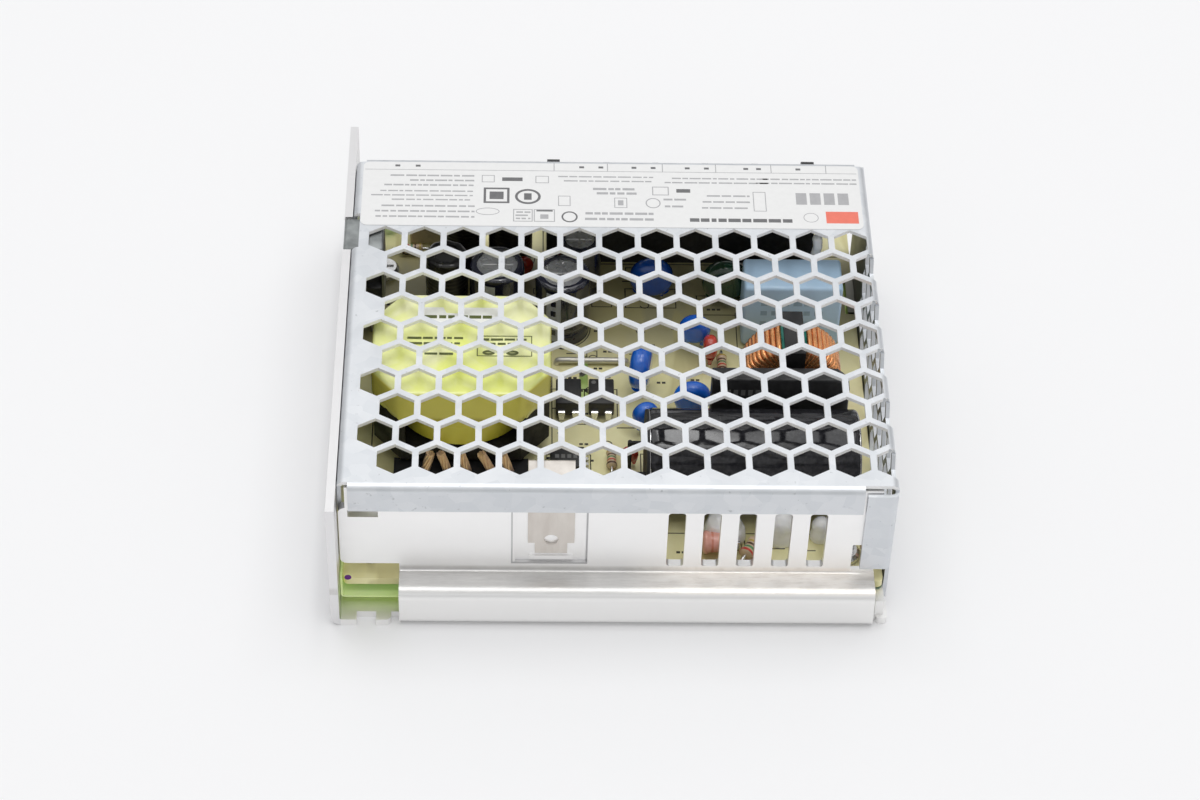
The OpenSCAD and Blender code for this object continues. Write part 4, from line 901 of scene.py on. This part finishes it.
softened = node_of(tree, "GeometryNodeFilletCurve", {"Curve": loop[0], "Count": 4, "Radius": given["Wire"]},
                   mode="POLY")
half_wire = math_of(tree, "MULTIPLY", given["Wire"], 0.5)
rim = node_of(tree, "GeometryNodeCurvePrimitiveCircle", {"Resolution": 8, "Radius": half_wire})
strand = node_of(tree, "GeometryNodeCurveToMesh", {"Curve": softened[0], "Profile Curve": rim[0]})
middle_r = math_of(tree, "MULTIPLY", math_of(tree, "ADD", given["Core Radius"], given["Core Hole"]), 0.5)
shift = node_of(tree, "ShaderNodeCombineXYZ", {"X": middle_r})
moved = node_of(tree, "GeometryNodeTransform", {"Geometry": strand[0], "Translation": shift[0],
                                                "Rotation": (math.pi / 2, 0, 0)})
row = node_of(tree, "GeometryNodeMeshLine", {"Count": given["Turns"], "Offset": (0, 0, 0)})
last_turn = math_of(tree, "SUBTRACT", given["Turns"], 1)
share = math_of(tree, "DIVIDE", node_of(tree, "GeometryNodeInputIndex", {})[0], last_turn)
angle = math_of(tree, "ADD", given["Start"], math_of(tree, "MULTIPLY", given["Sweep"], share))
spin = node_of(tree, "ShaderNodeCombineXYZ", {"Z": angle})
wound = node_of(tree, "GeometryNodeInstanceOnPoints",
                {"Points": row[0], "Instance": moved[0], "Rotation": spin[0]})
close_tree(tree, given, wound[0], ends)
upright = at(*((core_low + core_high) / 2), 90, "X")
for side, start in (("right", -71), ("left", 109)):
    wind_sizes["Start"] = math.radians(start)
    grow(f"choke_turns_{side}", tree, [(0, 0, 0)], wind_sizes, ["choke_windings"], upright)

# Bridge rectifier: four diodes in one flat black moulding with a cut corner and a screw
# hole, on four tinned legs.


def bridge():
    bm = bmesh.new()
    low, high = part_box("bridge_rectifier")
    foot = low.z + 2.4 * MM
    cut, edge, pitch, hole_h, steps = 3 / math.sqrt(2) * MM, 0.35 * MM, 5.08 * MM, 12 * MM, 24
    x, y, _ = (low + high) / 2
    outline = [(low.x, foot), (high.x, foot), (high.x, high.z - cut), (high.x - cut, high.z), (low.x, high.z)]
    sleeve_of(bm, [[bm.verts.new((a, depth, b)) for a, b in outline] for depth in (low.y, high.y)], 0)
    bmesh.ops.bevel(bm, geom=list(bm.edges), offset=edge, segments=3, profile=0.5, affect="EDGES")
    for face_y, way in ((low.y - 0.01 * MM, 1), (high.y + 0.01 * MM, -1)):
        rims = []
        for r, deep in ((2.1 * MM, 0), (1.6 * MM, 0.25 * MM)):
            around = [2 * math.pi * k / steps for k in range(steps)]
            rims.append([bm.verts.new((x + r * math.cos(a), face_y + way * deep,
                                       low.z + hole_h + r * math.sin(a))) for a in around])
        for k in range(steps):
            bm.faces.new((rims[0][k], rims[0][(k + 1) % steps], rims[1][(k + 1) % steps], rims[1][k]))
        bm.faces.new(rims[1])
    for k in (-1.5, -0.5, 0.5, 1.5):
        leg_x = x + k * pitch
        for half_x, half_y, z, bevel, ink in ((0.5, 0.4, low.z, 0.08, 1), (0.9, 0.7, foot - 0.3 * MM, 0.15, 0)):
            block(bm, (leg_x - half_x * MM, y - half_y * MM, z),
                  (leg_x + half_x * MM, y + half_y * MM, foot + 0.2 * MM), bevel * MM, ink=ink)
    mark_z, mark_top = low.z + 14 * MM, low.z + 15.4 * MM
    for k in range(5):
        mark = low.x + (2.6 + 1.3 * k) * MM
        block(bm, (mark, low.y - ink_top * MM, mark_z), (mark + 0.8 * MM, low.y + 0.1 * MM, mark_top), ink=2)
    return bm


epoxy = plain("black_epoxy", (0.026, 0.026, 0.027), 0.42, 1400, 0.3)
faint_marks = plain("faint_marks", (0.16, 0.16, 0.16), 0.5)
show("bridge_body", bridge(), [epoxy, tin, faint_marks], ["bridge_rectifier"])

# Dipped discs: ceramic plates on two wires, dipped in glossy blue, dark green or red
# resin, which runs a little way down the wires.


def dipped(bm, low, high, turn, d, t, lift):
    lead = 0.6 * MM
    centre = (low + high) / 2
    place = at(centre.x, centre.y, low.z, turn)
    r, half, lift = d / 2 * MM, t / 2 * MM, lift * MM
    flat = (max(r - half, 0.1 * MM) * 0.55, half * 0.985)
    profile = [(0, -half), (flat[0], -flat[1])]
    for k in range(17):
        a = math.radians(-90 + 180 * k / 16)
        side = math.copysign(abs(math.sin(a)) ** 0.85, a)
        profile.append((r - half * 0.98 * (1 - math.cos(a)), half * side))
    turned(bm, profile + [flat, (0, half)], place @ at(0, 0, r + lift, 90, "X"))
    rise = lift + r * (1 - math.sqrt(0.75))
    for x in (-d / 4 * MM, d / 4 * MM):
        turned(bm, [(0, rise * 0.45), (lead * 0.62, rise * 0.5), (lead * 0.8, rise * 0.75), (half * 0.55, rise),
                    (half * 0.7, rise + 0.5 * MM), (0, rise + 0.6 * MM)], place @ at(x, 0, 0), 12)
        wire(bm, [place @ Vector((x, 0, z)) for z in (0, rise + 0.3 * MM)], lead * 0.5, 8, 1)


# Node, piece, slot, resin's dark and light tones, then each disc's turn, width, thickness and lift
for name, piece, slot, resin, dark, light, sizes in (
        ("disc_capacitors", "blue_discs", "blue_ceramic", "blue_dip", (0.008, 0.10, 0.56), (0.012, 0.20, 0.88),
         [(80, 8.2, 3.8, 2), (20, 5, 3, 2.2), (0, 7, 3.2, 1.6), (0, 6, 3.4, 2.4)]),
        # The varistor's blue and the thermistor's green are painted darker: painted shade for where they stand
        ("varistor", "varistor_disc", "blue_ceramic", "shade_darkened_blue_dip", (0.004, 0.05, 0.30), (0.008, 0.09, 0.46),
         [(0, 8.4, 4, 1.4)]),
        ("thermistor", "thermistor_disc", "green_epoxy", "shade_darkened_green_dip", (0.006, 0.03, 0.015), (0.012, 0.06, 0.028),
         [(0, 9, 4, 2)]),
        ("small_capacitors", "small_discs", "red_epoxy", "red_dip", (0.42, 0.03, 0.02), (0.70, 0.07, 0.04),
         [(30, 4, 2.4, 1.4), (0, 3.2, 2, 1.6), (90, 4.6, 2.6, 2.4)])):
    bm = bmesh.new()
    for (low, high), disc in zip(parts_of(name), sizes):
        dipped(bm, low, high, *disc)
    dip = mottled((resin, light, 0.0, 0.16, 0.8), {"scale": 260, "rough": 0.5, "warp": 0.6}, dark, light,
                  relief=(0.3, 0.00018))
    show(piece, bm, [dip, tin], [name], 60)

# Fuse: ceramic tube with pressed nickel caps and two wires bent down into the board.


def fuse_link():
    bm = bmesh.new()
    low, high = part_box("fuse")
    y, axis_z = (low.y + high.y) / 2, low.z + 2.6 * MM
    x0, x1 = low.x + 1.55 * MM, high.x - 1.55 * MM
    place, length = at(x0, y, axis_z, 90, "Y"), x1 - x0
    tube_r, cap_r, cap_l = 1.8 * MM, 2 * MM, 2 * MM
    turned(bm, [(0, tube_r), (tube_r, tube_r), (tube_r, length - tube_r), (0, length - tube_r)], place)
    for a, b in ((0, cap_l), (length - cap_l, length)):
        half = [(0, a), (1.75 * MM, a), (1.94 * MM, a + 0.16 * MM), (cap_r, a + 0.4 * MM)]
        paint(bm, turned(bm, half + [(r, a + b - z) for r, z in half[::-1]], place), 1)
    for foot, neck in ((low.x + 0.35 * MM, x0), (high.x - 0.35 * MM, x1)):
        reach = neck - foot
        path = [(foot, y, low.z), (foot, y, axis_z - 0.5 * MM), (foot + reach * 0.15, y, axis_z - 0.14 * MM),
                (foot + reach * 0.45, y, axis_z), (neck, y, axis_z)]
        wire(bm, path, 0.35 * MM, 10, 1)
    return bm


show("fuse_link", fuse_link(), [plain("ceramic_tube", (0.84, 0.81, 0.74), 0.35, 400, 0.04), tin], ["fuse"])

# Rod inductors: wire wound on a ferrite rod, closed in a shrunk black sleeve whose ends
# gather round the bare rod.


def rods(name):
    bm = bmesh.new()
    edge, pitch = 1.1 * MM, 0.9 * MM
    for low, high in parts_of(name):
        centre = (low + high) / 2
        radius, height = (high.x - low.x) / 2, high.z - low.z
        place = at(centre.x, centre.y, low.z)

        def wound(a, r, z):
            if r < radius - 0.1 * MM:
                return 0.12 * MM * math.sin(9 * a) * (r > radius * 0.6)
            return -0.07 * MM * (1 + math.sin(2 * math.pi * z / pitch + a))

        profile = [(0, 0), (radius * 0.62, 0)] + list(shoulder(radius, 0, edge, False))
        profile += [(radius, edge + (height - 2 * edge) * k / 44) for k in range(1, 44)]
        profile += list(shoulder(radius, height, edge, True))
        profile += [(radius * 0.62, height - 0.05 * MM), (radius * 0.58, height - 0.7 * MM)]
        turned(bm, profile, place, 36, wound)
        rod = [(0, 0.9), (0.6, 0.9), (0.57, 0.35), (0, 0.3)]
        paint(bm, turned(bm, [(radius * r, height - deep * MM) for r, deep in rod], place, 28), 1)
    return bm


rod_ferrite = plain("rod_ferrite", (0.06, 0.06, 0.062), 0.5, 900, 0.2)
matt_sleeve = plain("shrunk_black_sleeve", (0.014, 0.014, 0.015), 0.3, 300, 0.3, 0.0001, coat=0.2)
for name, piece in (("output_inductor", "output_rod"), ("filter_inductors", "filter_rods")):
    show(piece, rods(name), [matt_sleeve, rod_ferrite], [name], 60)

# Optocouplers and controller: small black mouldings with tinned legs that leave the
# long sides, bend down and narrow into the board.


def leg(bm, x, y, out, wide, z_top, foot_z, along):
    reach, thick = 0.9 * MM, 0.26 * MM
    outer = [(0, 0), (reach * 0.62, 0), (reach * 0.9, 0.12 * MM), (reach, 0.4 * MM), (reach, z_top - foot_z)]
    inner = [(0, thick), (reach * 0.55, thick), (reach * 0.7, thick + 0.12 * MM), (reach - thick, 0.55 * MM),
             (reach - thick, z_top - foot_z)]
    sections = []
    for upper, lower in zip(outer, inner):
        corners = []
        for (d, down), s in ((upper, -1), (upper, 1), (lower, 1), (lower, -1)):
            half = s * wide * (0.5 if down < 1.1 * MM else 0.3)
            side, ahead = (half, out * d) if along == "y" else (out * d, half)
            corners.append(bm.verts.new((x + side, y + ahead, z_top - down)))
        sections.append(corners)
    sleeve_of(bm, sections, 1)


def optocoupler_bodies():
    bm = bmesh.new()
    for low, high in parts_of("optocouplers"):
        if high.z - low.z < 3 * MM:
            continue
        x, y, _ = (low + high) / 2
        body_low, body_high = Vector((-2.3, -3.2, 0.9)) * MM, Vector((2.3, 3.2, 4.2)) * MM
        stand = Vector((x, y, board_top))
        block(bm, stand + body_low, stand + body_high, 0.28 * MM)
        for out in (-1, 1):
            for leg_x in (x - 1.27 * MM, x + 1.27 * MM):
                leg(bm, leg_x, y + out * 3.1 * MM, out, 1.2 * MM, board_top + 2.5 * MM, board_top, "y")
        dot = turned(bm, [(0, 0), (0.45 * MM, 0), (0.45 * MM, 0.03 * MM), (0, 0.03 * MM)],
                     at(x - 1.4 * MM, y + 2.2 * MM, board_top + 4.19 * MM), 14)
        paint(bm, dot, 2)
    return bm


def controller_body():
    bm = bmesh.new()
    low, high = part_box("controller_ic")
    x, y, _ = (low + high) / 2
    stand = Vector((x, y, board_top))
    block(bm, stand + Vector((-3.1, -2.5, 0.5)) * MM, stand + Vector((3.1, 2.5, 2.9)) * MM, 0.25 * MM)
    for out in (-1, 1):
        for k in (-1.5, -0.5, 0.5, 1.5):
            leg(bm, x + out * 3.0 * MM, y + k * 1.27 * MM, out, 0.6 * MM, board_top + 1.7 * MM, board_top, "x")
    for k in range(4):
        mark = Vector((x + (-2.2 + 1.1 * k) * MM, y - 0.4 * MM, high.z - 0.02 * MM))
        block(bm, mark, mark + Vector((0.7, 0.9, 0.03)) * MM, ink=2)
    return bm


show("optocoupler_bodies", optocoupler_bodies(), [epoxy, tin, faint_marks], ["optocouplers"])
show("controller_body", controller_body(), [epoxy, tin, faint_marks], ["controller_ic"])

# Power switch and output rectifier: moulded bodies on bare metal tabs, pressed to the
# case walls through grey pads by bent spring-steel clips.


def power_device(name, faces_x):
    bm = bmesh.new()
    low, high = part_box(name)
    half, tab_t, body_t, hole, pitch, steps = 5 * MM, 1.3 * MM, 4.6 * MM, 1.8 * MM, 2.54 * MM, 32
    foot = board_top + 4 * MM
    body_top = foot + 9.2 * MM
    tab_low, hole_z = body_top - 0.2 * MM, foot + 11.6 * MM

    def to_wall(x, d, z):
        if faces_x:
            return Vector((low.x + d, (low.y + high.y) / 2 - x, z))
        return Vector(((low.x + high.x) / 2 + x, low.y + d, z))

    def chunk(x0, x1, d0, d1, z0, z1, bevel, ink):
        a, b = to_wall(x0, d0, z0), to_wall(x1, d1, z1)
        block(bm, tuple(map(min, a, b)), tuple(map(max, a, b)), bevel, ink=ink)

    chunk(-half, half, 0.1 * MM, body_t, foot, body_top, 0.35 * MM, 0)
    # Tab: sections that run round the hole and reach out to the tab's straight edges
    sections = []
    for k in range(steps):
        a = 2 * math.pi * (k + 0.5) / steps
        c, s = math.cos(a), math.sin(a)
        edge = min(half / abs(c), (high.z - hole_z if s > 0 else hole_z - tab_low) / abs(s))
        sections.append([bm.verts.new(to_wall(r * c, d, hole_z + r * s))
                         for r, d in ((hole, 0), (edge, 0), (edge, tab_t), (hole, tab_t))])
    sleeve_of(bm, sections, 1, True)
    for x in (-pitch, 0, pitch):
        for wide, d0, d1, z0 in ((0.4, 2.15, 2.65, board_top), (0.65, 2.1, 2.7, foot - 1.4 * MM)):
            chunk(x - wide * MM, x + wide * MM, d0 * MM, d1 * MM, z0, foot + 0.2 * MM, 0.06 * MM, 1)
    for k in range(4):
        x = (-3 + 1.7 * k) * MM
        chunk(x, x + 1.1 * MM, body_t - 0.1 * MM, body_t + 0.012 * MM, foot + 5.4 * MM, foot + 6.6 * MM, 0, 2)
    return bm


tab_metal = plain("tinned_tab", (0.62, 0.61, 0.60), 0.34, 500, 0.08, metallic=1.0)
for name, faces_x in (("mosfet", False), ("rectifier_diode", True)):
    show(f"{name}_body", power_device(name, faces_x), [epoxy, tab_metal, faint_marks], [name])
dress(plain("grey_pad", (0.50, 0.53, 0.55), 0.8, 500, 0.08, 0.00008), "mosfet_pad", "rectifier_pad")
dress(mottled(("spring_steel", (0.74, 0.69, 0.63), 0.75, 0.42),
              {"scale": 420, "detail": 4, "stretch": (1, 1, 0.25)},
              (0.66, 0.61, 0.56), (0.80, 0.76, 0.71), (0.32, 0.52), (0.1, 0.00004)), "mosfet_clip")
dress(plain("grey_spring", (0.36, 0.38, 0.38), 0.38, 260, 0.3, metallic=0.9), "rectifier_clip")

# Resistors: one salmon-coated power resistor and smaller tan ones. Each has swollen
# ends, plain colour bands and two tinned wires bent into the board.


def banded(name, coat, bands):
    body = mottled((name, coat, 0.0, 0.28, 0.4), {"scale": 500}, tuple(c * 0.93 for c in coat), coat)
    return [body, tin] + [plain(f"{name}_band_{k}", color, 0.3, 600, 0.08, coat=0.3)
                          for k, color in enumerate(bands)]


def resistor(bm, low, high, turn, d, l, lift, stripes):
    centre = (low + high) / 2
    place = at(centre.x, centre.y, board_top, turn)
    lay = place @ at(-l / 2 * MM, 0, lift * MM, 90, "Y")
    r, length = d / 2 * MM, l * MM
    half = [(0, 0), (0.45, 0.02), (0.8, 0.04), (0.97, 0.09), (1, 0.14), (0.96, 0.20), (0.87, 0.26),
            (0.85, 0.34), (0.85, 0.5)]
    profile = half + [(a, 1 - b) for a, b in half[-2::-1]]
    turned(bm, [(r * a, length * b) for a, b in profile], lay, 24)
    for middle, wide, bulge, ink in stripes:
        outer = r * bulge + 0.015 * MM
        inner, z0, z1 = outer - 0.05 * MM, (middle - wide / 2) * length, (middle + wide / 2) * length
        paint(bm, turned(bm, [(inner, z0), (outer, z0), (outer, z1), (inner, z1)], lay, 24), ink)
    reach = l / 2 + 1.5
    for s in (-1, 1):
        path = [(reach, 0), (reach, lift - 0.7), (reach - 0.12, lift - 0.28), (reach - 0.4, lift - 0.05),
                (reach - 0.8, lift), (l / 2 - 0.1, lift)]
        wire(bm, [place @ Vector((s * x * MM, 0, z * MM)) for x, z in path], 0.3 * MM, 8, 1)


# Each band: place and width along the body, its bulge, and its colour's number
bands = [(0.13, 0.09, 1.0, 2), (0.34, 0.07, 0.86, 3), (0.5, 0.07, 0.86, 4), (0.66, 0.07, 0.86, 2),
         (0.87, 0.07, 1.0, 5)]
wide_bands = [(0.13, 0.1, 1.0, 3), (0.34, 0.1, 0.86, 4), (0.52, 0.1, 0.86, 2), (0.7, 0.1, 0.86, 5)]
bm = bmesh.new()
resistor(bm, *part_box("power_resistor"), 0, 4.2, 5.4, 2.4, bands[1:2])
show("power_resistor_body", bm,
     banded("salmon_coat", (0.86, 0.42, 0.34), [(0.66, 0.22, 0.15), (0.72, 0.26, 0.18)]),
     ["power_resistor"], 60)
bm = bmesh.new()
for low, high in parts_of("small_resistors"):
    span = (high - low).xy / MM
    if min(span) > 3:
        resistor(bm, low, high, 60, 2.6, 4.2, 1.8, wide_bands)
    else:
        resistor(bm, low, high, 0 if span.x > span.y else 90, min(span), max(span) - 3.6, 1.2, bands)
tan_bands = [(0.10, 0.05, 0.03), (0.62, 0.06, 0.04), (0.10, 0.30, 0.12), (0.55, 0.40, 0.08)]
show("small_resistor_bodies", bm, banded("tan_coat", (0.72, 0.55, 0.36), tan_bands), ["small_resistors"],
     60)

# Wire bridges: bare tinned wire bent into long staples over the board.


def bridges():
    bm = bmesh.new()
    for low, high in parts_of("jumper_wires"):
        y, radius, bend = (low.y + high.y) / 2, (high.y - low.y) / 2, 0.55 * MM
        top, a, b = high.z - radius, low.x + radius, high.x - radius
        path = [(a, y, low.z), (a, y, top - bend), (a + bend * 0.3, y, top - bend * 0.3), (a + bend, y, top)]
        path += [(a + (b - a) * k / 6, y, top + 0.05 * MM * math.sin(k * 1.9)) for k in range(1, 6)]
        path += [(b - bend, y, top), (b - bend * 0.3, y, top - bend * 0.3), (b, y, top - bend), (b, y, low.z)]
        wire(bm, path, radius, 12)
    return bm


show("wire_bridges", bridges(), [plain("bright_tin", (0.72, 0.70, 0.63), 0.42, 700, 0.06, metallic=0.7)],
     ["jumper_wires"], 60)

# Sealant: soft white silicone run along the foot of the bulk capacitor and beside the
# suppression capacitor, set in smooth lumps.


def sealant():
    bm = bmesh.new()
    dice = random.Random(23)
    for low, high in parts_of("silicone_beads"):
        radius, tall = (high.x - low.x) / 2, high.z - low.z
        x, y, _ = (low + high) / 2
        taper = 0.26 if tall < 12 * MM else 0.06
        lumps = max(3, int(tall / (0.9 * MM)))
        for t in (k / lumps for k in range(lumps + 1)):
            r = radius * (1.0 - taper * t) * dice.uniform(0.9, 1.0)
            z = min(low.z + max(r * 0.2, tall * t), high.z - r)
            lean = Vector((dice.uniform(-1, 1), dice.uniform(-1, 1), 0)) * 0.12 * MM
            ball = bmesh.ops.create_icosphere(bm, subdivisions=2, radius=r)["verts"]
            bmesh.ops.translate(bm, vec=Vector((x, y, z)) + lean, verts=ball)
    return bm


def run_together(bm):
    lumps = bpy.data.meshes.new("sealant")
    bm.to_mesh(lumps)
    bm.clear()
    mould = bpy.data.objects.new("sealant_mould", lumps)
    bpy.context.scene.collection.objects.link(mould)
    skin = mould.modifiers.new("skin", "REMESH")
    skin.mode = "VOXEL"
    skin.voxel_size = 0.22 * MM
    calm = mould.modifiers.new("calm", "SMOOTH")
    calm.factor = 0.5
    calm.iterations = 6
    bm.from_mesh(bpy.data.meshes.new_from_object(mould.evaluated_get(bpy.context.evaluated_depsgraph_get())))
    bpy.data.objects.remove(mould)
    return bm


silicone = mottled(("white_silicone", (0.94, 0.94, 0.93), 0.0, 0.22, 0.4), {"scale": 320, "detail": 2},
                   (0.90, 0.90, 0.88), (0.97, 0.97, 0.96), relief=(0.2, 0.0001),
                   extra={"Subsurface Weight": 0.4, "Subsurface Radius": (0.0012, 0.0012, 0.001)})
show("sealant_run", run_together(sealant()), [silicone], ["silicone_beads"], 180)

# Indicator: green lens of cast resin with a flange, on two wires.


def indicator():
    bm = bmesh.new()
    low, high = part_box("led")
    centre = (low + high) / 2
    place, lens_r, dome_z = at(centre.x, centre.y, low.z), 1.5, 6
    flange = [(0, 2), (1.8, 2), (1.9, 2.12), (1.9, 2.88), (1.8, 3), (1.55, 3), (lens_r, 3.1)]
    dome = [(lens_r * math.cos(a), dome_z + lens_r * math.sin(a)) for a in map(math.radians, range(0, 91, 15))]
    turned(bm, [(r * MM, z * MM) for r, z in flange + dome], place, 28)
    for x in (-1.27 * MM, 1.27 * MM):
        wire(bm, [place @ Vector((x, 0, z)) for z in (0, 2.1 * MM)], 0.25 * MM, 8, 1)
    return bm


lens_resin = mottled(("green_lens", (0.12, 0.62, 0.20), 0.0, 0.08, 0.5), {"scale": 500, "detail": 2},
                     (0.08, 0.50, 0.14), (0.18, 0.72, 0.28), relief=None, extra={"Transmission Weight": 0.25})
show("indicator_lens", indicator(), [lens_resin, tin], ["led"])

# Trimmer: tan moulded body with a white slotted rotor that a driver turns.

dress(plain("trimmer_tan", (0.62, 0.54, 0.36), 0.42, 600, 0.08), "trimmer_body")
dress(plain("trimmer_white", (0.60, 0.56, 0.50), 0.38, 600, 0.04), "trimmer_rotor")

# Terminal block: black glass-filled moulding with a barrier between each pair of
# screws; its faces are finely grained and some stretches are worn smoother.

dress(mottled(("filled_moulding", (0.022, 0.022, 0.024), 0.0, 0.42), {"scale": 1600, "detail": 4, "rough": 0.7},
              (0.016, 0.016, 0.017), (0.04, 0.04, 0.042), (0.32, 0.52), (0.2, 0.00006), (0.35, 0.7),
              shine_pattern={"scale": 130, "detail": 2, "stretch": (1, 1, 3)}), "terminal_block")

# Studio: white table, even soft light from above and behind, and the camera.

bm = bmesh.new()
bmesh.ops.create_grid(bm, x_segments=1, y_segments=1, size=3)
floor = bpy.data.meshes.new("table_top")
bm.to_mesh(floor)
bm.free()
table = bpy.data.objects.new("table_top", floor)
bpy.context.scene.collection.objects.link(table)
floor.materials.append(new_finish("white_table", (0.93, 0.93, 0.937), 0.0, 0.7)[0])

world = bpy.data.worlds.new("soft_room")
bpy.context.scene.world = world
world.use_nodes = True
room = world.node_tree.nodes["Background"].inputs
room["Color"].default_value = (0.99, 0.993, 1, 1)
room["Strength"].default_value = 0.49

for name, place, size, power in (
        ("behind", (0.0, 0.9, 0.95), (2.2, 1.3), 2.3), ("strip", (0.05, 0.0, 0.9), (0.6, 0.06), 0.8),
        ("above", (0.0, 0.15, 1.5), (1.6, 1.4), 10.0), ("front", (-0.1, -1.0, 0.9), (1.8, 0.9), 1.2)):
    lamp = bpy.data.lights.new(name, "AREA")
    lamp.shape = "RECTANGLE"
    lamp.size, lamp.size_y = size
    lamp.energy = power
    softbox = bpy.data.objects.new(name, lamp)
    bpy.context.scene.collection.objects.link(softbox)
    softbox.location = place
    softbox.rotation_euler = (-Vector(place)).to_track_quat("-Z", "Y").to_euler()

bpy.context.scene.view_settings.view_transform = "Standard"
optics = bpy.data.cameras.new("camera")
optics.sensor_width = 36
optics.lens = 91.2
elevation, yaw, roll = (math.radians(a) for a in (45.432, -2.2238, 2.0477))
distance, aim = 527.014, Vector((-2.125, -23.5714, 30))
back = Vector((math.sin(yaw) * math.cos(elevation), -math.cos(yaw) * math.cos(elevation), math.sin(elevation)))
right = Vector((math.cos(yaw), math.sin(yaw), 0))
up = right.cross(-back)
x_axis = right * math.cos(roll) + up * math.sin(roll)
y_axis = up * math.cos(roll) - right * math.sin(roll)
camera = bpy.data.objects.new("camera", optics)
bpy.context.scene.collection.objects.link(camera)
turn = Matrix((x_axis, y_axis, back)).transposed().to_4x4()
camera.matrix_world = Matrix.Translation((aim + back * distance) * MM) @ turn
bpy.context.scene.camera = camera
